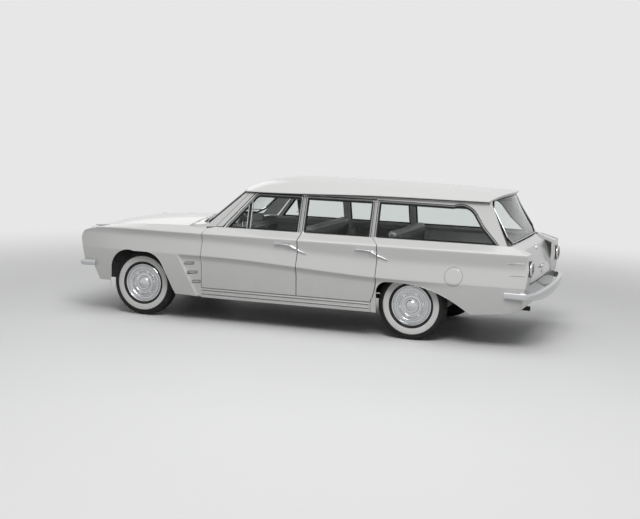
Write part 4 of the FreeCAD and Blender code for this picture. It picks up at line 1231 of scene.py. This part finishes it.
for name, sign, reach, root_x in (("front_bumper", 1, 0.255, 2.290), ("rear_bumper", -1, 0.305, -2.266)):
    bumper = made_bumper(name + "_bar", sign, reach, root_x)
    finished(bumper, BODY, *CHROME, name)
    print(name, "faces:", len(bumper.data.polygons))

# %% [markdown]
# ## Tail lamps
# A red lens with pressed rings round a clear centre, in a chrome bezel on a dark rubber ring.

# %% Tail lamps
LAMP_Y = 0.745
BEZEL = [(0.0690, 0.000), (0.0700, 0.008), (0.0680, 0.016), (0.0630, 0.022), (0.0580, 0.024), (0.0550, 0.021),
         (0.0545, 0.012), (0.0545, 0.000)]
GASKET = [(0.0660, 0.000), (0.0765, 0.000), (0.0775, 0.003), (0.0750, 0.006), (0.0660, 0.006), (0.0660, 0.000)]
RINGED_LENS = [(0.0200, 0.024), (0.0230, 0.0275), (0.0260, 0.0250), (0.0300, 0.0268), (0.0340, 0.0235),
               (0.0380, 0.0245), (0.0420, 0.0205), (0.0460, 0.0205), (0.0500, 0.0160), (0.0545, 0.0130),
               (0.0545, 0.0000), (0.0200, 0.000), (0.0200, 0.024)]
CENTRE_LENS = [(0.0, 0.029), (0.0100, 0.0282), (0.0170, 0.026), (0.0198, 0.023), (0.0198, 0.001), (0.0, 0.001)]

for side, y in (("left", LAMP_Y), ("right", -LAMP_Y)):
    for part, outline, steps, angle, look in (("bezel", BEZEL, 48, 40, CHROME), ("gasket", GASKET, 48, 40, SEAL),
                                              ("lens", RINGED_LENS, 64, 30, (lens_red, "lamp_red")),
                                              ("centre", CENTRE_LENS, 32, 40, LENS)):
        piece = turned("tail_%s_%s" % (part, side), outline, (-2.307, y, 0.757), TO_REAR, steps)
        replaced = ["tail_lamps"] if part == "lens" and side == "left" else []
        finished(smooth(piece, angle), BODY, *look, *replaced)

# %% [markdown]
# ## Tailgate fittings
# The lid has a lock under the glass, a pull with a thumb button in the middle and a rubber
# seal along its lower edge.

# %% Tailgate fittings


def on_gate(y, z, *push):
    """The tailgate's outside at (y, z), moved by push."""
    spot = gate_place((z - 0.600) / 0.352, (y / 0.640 + 1) / 2)
    return spot + Vector(push or (0, 0, 0))


LOCK = [(0.0, 0.011), (0.0060, 0.011), (0.0065, 0.009), (0.0130, 0.010), (0.0175, 0.007), (0.0190, 0.0), (0.0, -0.002)]
lock = turned("tailgate_lock", LOCK, on_gate(0, 0.880), (-1, 0, 0.25), 32)
pull = block("tailgate_pull", on_gate(0, 0.690, -0.020, -0.062, 0), on_gate(0, 0.722, -0.004, 0.062, 0), 0.006, 3)
feet = [block("foot", on_gate(y - 0.010, 0.694, -0.012, 0, 0), on_gate(y + 0.010, 0.718, 0.006, 0, 0), 0.002)
        for y in (-0.048, 0.048)]
thumb = button("thumb", on_gate(0, 0.651), 0.012, 0.012, TO_REAR)
fittings = together("tailgate_fittings", [lock, pull, thumb] + feet)
finished(smooth(fittings, 40), "tailgate", *CHROME)
gate_line = rod("tailgate_seal", [on_gate(-0.63 + 1.26 * k / 20, 0.604, 0.004, 0, 0) for k in range(21)], 0.004, 6)
finished(gate_line, "tailgate", *SEAL)

# %% [markdown]
# ## The front
# Twin round lamps on each side with chrome rings, and a low grille in a bright frame with a
# dark panel of painted shade behind the bars.

# %% Front lamps and grille frame
HEADLAMP_RIM = [(0.0735, 0.004), (0.0750, 0.010), (0.0800, 0.014), (0.0860, 0.010), (0.0875, 0.0), (0.0735, 0.0),
                (0.0735, 0.004)]
HEADLAMP_DOME = [(0.0, 0.014), (0.020, 0.0132), (0.040, 0.0108), (0.058, 0.0066), (0.0725, 0.0), (0.0740, -0.006),
                 (0.0740, -0.036), (0.0, -0.036)]
GRILLE_X = 2.330

for side, sign in (("right", -1), ("left", 1)):
    for number, y in ((1, 0.570), (2, 0.735)):
        spot = (2.318, sign * y, 0.705)
        rim = turned("headlamp_rim_%s_%d" % (side, number), HEADLAMP_RIM, spot, (1, 0, 0), 48)
        finished(smooth(rim, 40), BODY, *CHROME)
        dome = turned("headlamp_lens_%s_%d" % (side, number), HEADLAMP_DOME, spot, (1, 0, 0), 48)
        replaced = ["headlamps"] if side == "left" and number == 1 else []
        finished(smooth(dome, 40), BODY, *LENS, *replaced)
    inner, outer = sign * 0.062, sign * 0.468
    corners = [(GRILLE_X, y, z) for y, z in ((inner, 0.632), (outer, 0.632), (outer, 0.778), (inner, 0.778))]
    finished(rod("grille_rim_" + side, corners + corners[:2], 0.006, 8), BODY, *CHROME)
    low_y, high_y = sorted((inner, outer))
    # A black panel behind the bars is painted shade for the dark space behind the grille.
    shade_panel = block("grille_backing_" + side, (2.291, low_y, 0.634), (2.296, high_y, 0.776), 0.001, 1)
    finished(shade_panel, BODY, *BLACK)

# %% [markdown]
# ### Wipers and cowl
# Two wiper arms rest at the foot of the windshield, next to the intake's slots of painted shade.

# %% Wipers and cowl


def on_windshield(up, y, push=(0, 0, 0)):
    """A place on the windshield, from its foot at 0 to its head at 1, moved by push."""
    return windshield_edge(up, y / 0.7185) + Vector(push)


for name, y in (("left", 0.36), ("right", -0.18)):
    foot = on_windshield(0.015, y + 0.06, (0.016, 0, 0.016))
    tip = on_windshield(0.10, y - 0.36, (0.016, 0, 0.012))
    arm = rod("arm", [foot, foot + Vector((0.004, -0.03, 0.012)), tip], 0.0035, 8)
    pivot = button("pivot", foot + Vector((0, 0, -0.008)), 0.012, 0.016, (0.5, 0, 0.9))
    finished(together("wiper_arm_" + name, [arm, pivot]), BODY, *BRIGHT)
    blade = [on_windshield(0.10, y - shift, (0.010, 0, 0.006)) for shift in (0.18, 0.30, 0.42, 0.54)]
    finished(rod("wiper_blade_" + name, blade, 0.004, 8), BODY, *SEAL)

SLOTS = 14
# The intake's slots are black blocks, painted shade for the openings.
slots = []
for k in range(SLOTS):
    y = -0.56 + 1.12 * k / (SLOTS - 1)
    foot = on_windshield(0.0, y)
    low, high = (foot.x + 0.024, y - 0.030, foot.z - 0.012), (foot.x + 0.046, y + 0.030, foot.z + 0.0015)
    slots.append(block("slot", low, high, 0.001, 1))
finished(together("cowl_slot_shades", slots), BODY, *BLACK)

# %% [markdown]
# ## Seats
# A bench seat is foam under vinyl: crowned, with sides that pull in between its corners. Each
# cushion starts as a smaller box, is remeshed into even squares and blown up by the cloth
# solver, with a cap on how far a point may move. The sewn channels and the piping come after,
# because remeshing would wipe them out.

# %% Padded seats
FOAM_GRID = 0.013
FOAM_CAP = 0.024
FOAM_FRAMES = 20
CHANNEL = 0.068
PIPING_STEPS = 60


def foam(name, low, high, lean=0.0):
    """A rounded block of even squares that leans back with height."""
    low, high = Vector(low) + Vector((0.020, 0.016, 0.012)), Vector(high) - Vector((0.020, 0.016, 0.022))
    obj = block(name, low, high, 0.026, 3)
    for vertex in obj.data.vertices:
        vertex.co.x -= lean * (vertex.co.z - low.z)
    return modified(obj, "REMESH", mode="VOXEL", voxel_size=FOAM_GRID)


def inflated(pads):
    """Blows the pads up with the cloth solver, all in one run."""
    starts = {}
    for pad in pads:
        take(pad)
        starts[pad.name] = [vertex.co.copy() for vertex in pad.data.vertices]
        cloth = pad.modifiers.new("Foam", "CLOTH")
        settings = cloth.settings
        settings.quality = 5
        settings.tension_stiffness = settings.compression_stiffness = 12
        settings.bending_stiffness = 0.6
        settings.use_pressure = True
        settings.uniform_pressure_force = 4
        settings.effector_weights.gravity = 0
        cloth.point_cache.frame_start = 1
        cloth.point_cache.frame_end = FOAM_FRAMES
    for frame_number in range(1, FOAM_FRAMES + 1):
        bpy.context.scene.frame_set(frame_number)
    bpy.context.view_layer.update()
    graph = bpy.context.evaluated_depsgraph_get()
    for pad in pads:
        moved = [vertex.co.copy() for vertex in pad.evaluated_get(graph).data.vertices]
        pad.modifiers.remove(pad.modifiers["Foam"])
        for vertex, start, end in zip(pad.data.vertices, starts[pad.name], moved):
            step = end - start
            if step.length > FOAM_CAP:
                step = step.normalized() * FOAM_CAP
            vertex.co = start + step
    bpy.context.scene.frame_set(1)


SEATS = {
    "front_seat_cushion": ((0.047, -0.665, 0.430), (0.547, 0.665, 0.560), 0.0),
    "front_seat_back": ((-0.073, -0.665, 0.430), (0.047, 0.665, 1.040), 0.05),
    "rear_seat_cushion": ((-0.823, -0.665, 0.430), (-0.323, 0.665, 0.560), 0.0),
    "rear_seat_back": ((-0.943, -0.590, 0.430), (-0.823, 0.590, 1.040), 0.05),
}
pads = {name: foam(name + "_pad", low, high, lean) for name, (low, high, lean) in SEATS.items()}
inflated(list(pads.values()))


def channel_depth(y, half_length):
    """How far a sewn channel pulls the cover in, across the pleated middle of the seat."""
    inside = max(min(half_length - 0.10 - abs(y), 0.03) / 0.03, 0.0)
    return 0.007 * inside * math.exp(-((y / CHANNEL % 1.0 - 0.5) * CHANNEL / 0.006) ** 2)


for name, pad in pads.items():
    low, high = Vector(SEATS[name][0]), Vector(SEATS[name][1])
    modified(pad, "SUBSURF", levels=1, render_levels=1)
    upright = name.endswith("back")
    normals = [vertex.normal.copy() for vertex in pad.data.vertices]
    for vertex, normal in zip(pad.data.vertices, normals):
        facing = normal.x if upright else normal.z
        reach = (vertex.co.z - low.z) / (high.z - low.z) if upright else (vertex.co.x - low.x) / (high.x - low.x)
        if facing > 0.6 and 0.10 < reach < 0.86:
            vertex.co -= normal * channel_depth(vertex.co.y, high.y)
    pad.data.materials.append(seat_vinyl)
    pad.data.materials.append(bolster_vinyl)
    for face in pad.data.polygons:
        spot = face.center
        edge = spot.z > high.z - 0.075 if upright else spot.x > high.x - 0.050
        face.material_index = 1 if edge or abs(spot.y) > high.y - 0.045 else 0
    smooth(pad, 70)
    finished(pad, BODY, None, "seat_vinyl", name)

    def on_pad(spot):
        place, normal = pad.closest_point_on_mesh(Vector(spot))[1:3]
        return place + normal * 0.002

    if upright:
        start, end = (high.x - 0.02, low.z + 0.05), (high.x - 0.04, high.z - 0.01)
    else:
        start, end = (low.x, high.z), (high.x, high.z)
    corners = [(x, y, z) for (x, z), y in ((start, low.y), (end, low.y), (end, high.y), (start, high.y))]
    route = [on_pad(between(corners, k / PIPING_STEPS)) for k in range(PIPING_STEPS + 1)]
    piping = rod(name + "_piping", route, 0.004, 6)
    finished(piping, BODY, bolster_vinyl, "seat_vinyl")
print("seat faces:", {name: len(pad.data.polygons) for name, pad in pads.items()})

# %% [markdown]
# ## Door cards
# Behind each door's metal is a board covered in vinyl, dark below and pale above, with a bright
# line between, an armrest, a latch handle and a window crank.

# %% Door cards
CARD_Y = 0.8165


def on_card(name, low, high, bevel, segments=2):
    """A block on the left door card, from (x, depth, z) corners; depth counts inwards."""
    return block(name, (low[0], CARD_Y - low[1], low[2]), (high[0], CARD_Y - high[1], high[2]), bevel, segments)


for end, low_x, high_x, body in (("front", 0.030, 0.890, FRONT_DOOR), ("rear", -0.700, -0.100, REAR_DOOR)):
    middle = (low_x + high_x) / 2
    card = on_card("door_card_%s_left" % end, (low_x, 0.009, 0.400), (high_x, 0.0, 0.905), 0.003)
    both_sides(card, body, *VINYL)
    upper = on_card("door_card_top_%s_left" % end, (low_x + 0.01, 0.013, 0.735), (high_x - 0.01, 0.006, 0.895), 0.003)
    both_sides(upper, body, bolster_vinyl, "seat_vinyl")
    rest = on_card("armrest_%s_left" % end, (middle - 0.17, 0.065, 0.640), (middle + 0.13, 0.006, 0.690), 0.016, 4)
    both_sides(smooth(rest, 60), body, *VINYL)
    bright = on_card("line", (low_x + 0.012, 0.015, 0.726), (high_x - 0.012, 0.007, 0.734), 0.002)
    foot = Vector((middle + 0.20, CARD_Y - 0.010, 0.700))
    bends = (0, 0, 0), (0, -0.022, 0), (-0.02, -0.030, -0.095)
    crank = rod("crank", [foot + Vector(bend) for bend in bends], 0.006, 8)
    knob = button("knob", foot + Vector((-0.02, -0.028, -0.095)), 0.011, 0.022, (0, -1, 0))
    boss = button("boss", foot, 0.022, 0.010, (0, -1, 0))
    latch = rod("latch", [(middle + x, CARD_Y - depth, z) for x, depth, z in (
        (0.10, 0.010, 0.790), (0.10, 0.030, 0.790), (0.19, 0.034, 0.786))], 0.007, 8)
    both_sides(together("door_hardware_%s_left" % end, [bright, crank, knob, boss, latch]), body, *CHROME)

# %% [markdown]
# ## Dashboard and steering wheel
# The padded dashboard stays as the CAD has it. In front of the driver it gets a pod with round
# dials, and further over a radio, a glovebox lid and a row of knobs. The wheel gets a bright
# horn ring and a centre cap.

# %% Dashboard and steering wheel
DASH_X = 0.7745
DIAL_YS = (0.275, 0.372, 0.470)
DIAL_Z = 0.842
DIAL_RING = [(0.036, 0.0), (0.036, 0.006), (0.040, 0.008), (0.043, 0.004), (0.043, -0.004), (0.036, -0.004),
             (0.036, 0.0)]
DIAL = [(0.0, 0.003), (0.036, 0.003), (0.036, -0.003), (0.0, -0.003)]


def on_dash(name, low, high, bevel=0.003, segments=2):
    """A block on the dashboard, from (depth, y, z) corners; depth counts forwards from its face."""
    return block(name, (DASH_X + low[0], *low[1:]), (DASH_X + high[0], *high[1:]), bevel, segments)


pod = on_dash("dial_pod", (-0.012, 0.185, 0.795), (0.030, 0.560, 0.888), 0.010, 3)
finished(smooth(pod, 60), BODY, dash_grain, "trim")
bright = []
for y in DIAL_YS:
    bright.append(turned("dial_ring", DIAL_RING, (DASH_X - 0.012, y, DIAL_Z), TO_REAR, 32))
    needle_x = DASH_X - 0.0165
    bright.append(rod("needle", [(needle_x, y, DIAL_Z), (needle_x, y + 0.018, DIAL_Z + 0.020)], 0.0012, 6))
bright += [button("knob", (DASH_X, y, DIAL_Z), 0.010, 0.016, TO_REAR) for y in (0.150, 0.110, -0.110, -0.150)]
bright.append(on_dash("radio_frame", (-0.008, -0.085, 0.818), (0.010, 0.085, 0.870)))
bright.append(on_dash("dash_strip", (-0.004, -0.640, 0.874), (0.006, 0.170, 0.882), 0.002))
bright.append(button("glovebox_lock", (DASH_X - 0.004, -0.370, 0.860), 0.009, 0.010, TO_REAR))
finished(together("dash_bright_parts", bright), BODY, *CHROME)
faces = [turned("dial", DIAL, (DASH_X - 0.012, y, DIAL_Z), TO_REAR, 32) for y in DIAL_YS]
faces.append(on_dash("radio_dial", (-0.011, -0.070, 0.834), (-0.006, 0.070, 0.856), 0.001, 1))
finished(together("dash_dials", faces), BODY, *BLACK)
finished(on_dash("glovebox_lid", (-0.006, -0.600, 0.798), (0.006, -0.190, 0.868)), BODY, dash_grain, "trim")

COLUMN = Vector((-math.cos(math.radians(28)), 0, math.sin(math.radians(28))))
WHEEL_CENTRE = Vector((0.670, 0.370, 0.880))
CAP = [(0.0, 0.032), (0.012, 0.031), (0.026, 0.026), (0.032, 0.018), (0.033, 0.010), (0.0, 0.010)]
across = COLUMN.orthogonal().normalized()
turns = [Matrix.Rotation(k * math.pi / 24, 3, COLUMN) for k in range(50)]
ring = rod("ring", [WHEEL_CENTRE + COLUMN * 0.012 + turn @ across * 0.128 for turn in turns], 0.004, 8)
cap = turned("cap", CAP, WHEEL_CENTRE, COLUMN, 32)
finished(together("horn_ring", [ring, smooth(cap, 40)]), "steering_wheel", *CHROME)

# %% [markdown]
# ## Cabin lining
# Pale headlining hangs below the roof. In front of it are the mirror and two visors. The cargo
# floor has bright skid strips on its mat.

# %% Headlining, mirror, visors and cargo strips


def lining_place(u, v):
    spot = roof_place(0.035 + 0.925 * u, v)
    return Vector((spot.x, spot.y * 0.925, spot.z - 0.024 - 0.004 * abs(math.sin(9 * math.pi * u))))


lining = shaped("headlining", 72, 24, lining_place)
walled(lining, (0, 0, -1), 0.003)
finished(smooth(lining, 60), BODY, headlining, "trim")

mirror_glass = block("mirror_head", (0.485, -0.085, 1.262), (0.500, 0.085, 1.312), 0.006, 3)
stalk = rod("mirror_stalk", [(0.500, 0, 1.290), (0.545, 0, 1.325), (0.575, 0, 1.345)], 0.005, 8)
finished(together("cabin_mirror", [smooth(mirror_glass, 40), stalk]), BODY, *BRIGHT)
for side, name in ((1, "left"), (-1, "right")):
    ends = sorted((side * 0.12, side * 0.50))
    visor = block("sun_visor_" + name, (0.340, ends[0], 1.326), (0.480, ends[1], 1.340), 0.006, 3)
    finished(smooth(visor, 60), BODY, bolster_vinyl, "trim")
skids = [block("skid", (-1.98, y - 0.009, 0.5895), (-0.99, y + 0.009, 0.5945), 0.002)
         for y in (-0.50, -0.30, -0.10, 0.10, 0.30, 0.50)]
finished(together("cargo_skid_strips", skids), BODY, *BRIGHT)

# %% [markdown]
# ## Finishes for the parts that keep their CAD shape
# Floor, engine, axles and tank are plain on the real car too. They only get their materials.

# %% Materials on CAD nodes
PLAIN = {
    "floor_pan": mat, "cargo_floor": mat, "front_structure": chassis_black, "engine_block": cast_iron,
    "drivetrain": cast_iron, "front_suspension": chassis_black, "rear_suspension": chassis_black,
    "knuckle_left": chassis_black, "knuckle_right": chassis_black, "fuel_tank": chassis_black,
    "seat_risers": chassis_black, "dashboard": dash_grain, "grille": chrome,
    "steering_wheel": wheel_plastic,
}
for name, material in PLAIN.items():
    nodes[name].data.materials.clear()
    nodes[name].data.materials.append(material)

# %% [markdown]
# ## Tyres
# A tyre is one outline turned about the axle: bead, bulging sidewall, shoulder and a tread with
# grooves round it. Every third block of each outer rib is pushed in, which gives the tread its
# sideways cuts. The faces of the sidewall's outer band get the white rubber.

# %% Tyres
WHITE_INNER = 0.2195
WHITE_OUTER = 0.2750
WHEEL_STEPS = 96

SIDEWALL = [
    (0.1965, 0.0560), (0.2000, 0.0625), (0.2070, 0.0680), (0.2180, 0.0728), (0.2200, 0.0742), (0.2225, 0.0752),
    (0.2300, 0.0765), (0.2480, 0.0786), (0.2640, 0.0788), (0.2740, 0.0780), (0.2760, 0.0772), (0.2800, 0.0768),
    (0.2960, 0.0730), (0.3100, 0.0672), (0.3190, 0.0610), (0.3232, 0.0560),
]
TREAD = [
    (0.3278, 0.0530), (0.3290, 0.0400), (0.3220, 0.0392), (0.3220, 0.0352), (0.3308, 0.0344), (0.3318, 0.0210),
    (0.3245, 0.0203), (0.3245, 0.0167), (0.3326, 0.0160), (0.3330, 0.0000),
]


def tyre_outline():
    half = SIDEWALL + TREAD
    other = [(radius, -along) for radius, along in reversed(half[:-1])]
    return half + other + [half[0]]


def wheel_centre(end, side):
    low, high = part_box("tyre_%s_%s" % (end, side))
    return (low + high) / 2


def polar(spot, centre):
    """A face's column round the wheel, its radius and its place along the axle."""
    way = spot - centre
    column = int(math.atan2(way.z, way.x) % (2 * math.pi) / (2 * math.pi) * WHEEL_STEPS)
    return column, math.hypot(way.x, way.z), way.y


def made_tyre(name, centre):
    obj = turned(name, tyre_outline(), centre, ALONG_Y, WHEEL_STEPS)
    obj.data.materials.append(rubber)
    obj.data.materials.append(white_rubber)

    def is_block(face):
        column, radius, along = polar(face.calc_center_median(), centre)
        return radius > 0.3265 and 0.041 < abs(along) < 0.056 and column % 3 == 0

    pick(obj, "faces", is_block)
    bpy.ops.mesh.extrude_region_shrink_fatten(TRANSFORM_OT_shrink_fatten={"value": -0.006})
    deselect()
    for face in obj.data.polygons:
        column, radius, along = polar(face.center, centre)
        face.material_index = int(along > 0.05 and WHITE_INNER < radius < WHITE_OUTER)
    return smooth(obj, 32)


# %% [markdown]
# ## Wheel covers
# Full-width covers hide the steel rim. From the rim inwards there is a rolled lip, a deep dark
# ring, a band of short slots, a dish and a pointed hub. The slots are faces of the band, inset
# one by one and pushed in, with black at their bottom as painted shade.

# %% Wheel covers
COVER = [
    (0.0000, 0.0900), (0.0060, 0.0894), (0.0200, 0.0850), (0.0440, 0.0740), (0.0520, 0.0690), (0.0560, 0.0650),
    (0.0600, 0.0648), (0.0660, 0.0672), (0.0700, 0.0665), (0.0735, 0.0600), (0.0760, 0.0535), (0.0860, 0.0500),
    (0.0960, 0.0495), (0.0990, 0.0530), (0.1020, 0.0550), (0.1060, 0.0555), (0.1260, 0.0560), (0.1300, 0.0545),
    (0.1330, 0.0500), (0.1360, 0.0470), (0.1440, 0.0470), (0.1480, 0.0500), (0.1520, 0.0560), (0.1580, 0.0585),
    (0.1640, 0.0570), (0.1670, 0.0530), (0.1710, 0.0500), (0.1760, 0.0520), (0.1800, 0.0600), (0.1860, 0.0660),
    (0.1920, 0.0668), (0.1955, 0.0640), (0.1956, 0.0560), (0.1880, 0.0480), (0.1860, 0.0300),
    (0.1840, -0.0440), (0.1900, -0.0600), (0.1956, -0.0600), (0.1956, -0.0636), (0.1840, -0.0638),
    (0.1700, -0.0440), (0.1500, -0.0082), (0.0206, -0.0082), (0.0206, 0.0262), (0.0000, 0.0262),
]


def made_cover(name, centre):
    obj = turned(name, COVER, centre, ALONG_Y, WHEEL_STEPS)
    obj.data.materials.append(chrome)
    obj.data.materials.append(black_paint_and_shade)

    def is_slot(face):
        column, radius, along = polar(face.calc_center_median(), centre)
        return 0.1062 < radius < 0.1258 and along > 0.05 and column % 2 == 0 and column % 16 < 12

    pick(obj, "faces", is_slot)
    bpy.ops.mesh.inset(thickness=0.0012, use_individual=True)
    bpy.ops.mesh.extrude_region_shrink_fatten(TRANSFORM_OT_shrink_fatten={"value": -0.006})
    deselect()
    # The pushed-in slot bottoms get black, as painted shade inside the slots.
    for face in obj.data.polygons:
        column, radius, along = polar(face.center, centre)
        face.material_index = int(0.04 < along < 0.0520 and 0.106 < radius < 0.126)
    return smooth(obj, 28)


for end in ("front", "rear"):
    centre = wheel_centre(end, "left")
    left_tyre = made_tyre("tyre_%s_left_dressed" % end, centre)
    left_cover = made_cover("cover_%s_left" % end, centre)
    for side in SIDES:
        body = "wheel_%s_%s" % (end, side)
        for source, stem, slot, replaced in ((left_tyre, "tyre_%s_%s_dressed", "tyre_rubber", "tyre_%s_%s"),
                                             (left_cover, "cover_%s_%s", "chrome", "rim_%s_%s")):
            obj = source if side == "left" else flipped(source, stem % (end, side))
            finished(obj, body, None, slot, replaced % (end, side))
print("tyre faces:", len(left_tyre.data.polygons), "cover faces:", len(left_cover.data.polygons))

# %% [markdown]
# ## The floor and the light
# A soft key lamp stands above and behind the camera, a wide one overhead and a faint one on the
# far side. The light stays plain, so the paint renders about as it is written. The floor fades
# with distance into the backdrop's colour, which camera, metal and glass see at full strength.

# %% Stage and lamps
PAPER = (0.80, 0.80, 0.80)


def seen_directly(tree, seen, unseen):
    """One shader for the camera, mirrors and glass, and another for all other light."""
    path = tree.nodes.new("ShaderNodeLightPath")
    rays = [path.outputs[name] for name in ("Is Camera Ray", "Is Glossy Ray", "Is Transmission Ray")]
    for other in rays[1:]:
        either = tree.nodes.new("ShaderNodeMath")
        either.operation = "MAXIMUM"
        tree.links.new(rays[0], either.inputs[0])
        tree.links.new(other, either.inputs[1])
        rays[0] = either.outputs[0]
    mix = tree.nodes.new("ShaderNodeMixShader")
    tree.links.new(rays[0], mix.inputs["Fac"])
    tree.links.new(unseen, mix.inputs[1])
    tree.links.new(seen, mix.inputs[2])
    return mix.outputs[0]


def shader_of(tree, kind, colour):
    made = tree.nodes.new(kind)
    made.inputs["Color"].default_value = (*colour, 1)
    return made


deselect()
bpy.ops.mesh.primitive_plane_add(size=60, location=(0, 0, 0))
floor = done(named("studio_floor"))
floor_finish = finish("floor_finish", PAPER, 0.6, specular=0.2)
varied(floor_finish, (0.93, 0.93, 0.93), (0.95, 0.95, 0.95), 0.6)
tree = floor_finish.node_tree
place = node(floor_finish, "ShaderNodeTexCoord")
away = tree.nodes.new("ShaderNodeVectorMath")
away.operation = "LENGTH"
link(floor_finish, place.outputs["Object"], away.inputs[0])
fade = node(floor_finish, "ShaderNodeMapRange", From_Min=3.2, From_Max=9.0, To_Min=0.0, To_Max=1.0)
fade.interpolation_type = "SMOOTHSTEP"
link(floor_finish, away.outputs["Value"], fade.inputs["Value"])
backdrop = tree.nodes.new("ShaderNodeMixShader")
link(floor_finish, fade.outputs["Result"], backdrop.inputs["Fac"])
link(floor_finish, tree.nodes["Principled BSDF"].outputs[0], backdrop.inputs[1])
link(floor_finish, shader_of(tree, "ShaderNodeEmission", PAPER).outputs[0], backdrop.inputs[2])
bounce = shader_of(tree, "ShaderNodeBsdfDiffuse", (0.42, 0.42, 0.42))
surface = seen_directly(tree, backdrop.outputs[0], bounce.outputs[0])
link(floor_finish, surface, tree.nodes["Material Output"].inputs["Surface"])
floor.data.materials.append(floor_finish)

world = bpy.data.worlds.new("studio_room")
bpy.context.scene.world = world
world.use_nodes = True
tree = world.node_tree
room = tree.nodes["Background"]
room.inputs["Color"].default_value = (0.80, 0.81, 0.82, 1)
room.inputs["Strength"].default_value = 0.26
paper = shader_of(tree, "ShaderNodeBackground", PAPER)
tree.links.new(seen_directly(tree, paper.outputs[0], room.outputs[0]), tree.nodes["World Output"].inputs["Surface"])


def soft_lamp(name, place, target, size, power):
    deselect()
    bpy.ops.object.light_add(type="AREA", location=place)
    lamp = named(name)
    lamp.data.size = size
    lamp.data.energy = power
    lamp.rotation_euler = (Vector(target) - Vector(place)).to_track_quat("-Z", "Y").to_euler()


soft_lamp("key_lamp", (-2.5, 6.0, 7.5), (0, 0, 0.6), 4.0, 370)
soft_lamp("top_lamp", (0.5, 0.5, 8.5), (0, 0, 0), 7.0, 150)
soft_lamp("far_lamp", (6.0, -7.0, 4.5), (0, 0, 0.7), 4.0, 25)

# %% [markdown]
# ## Finish

# %% Finish
deselect()
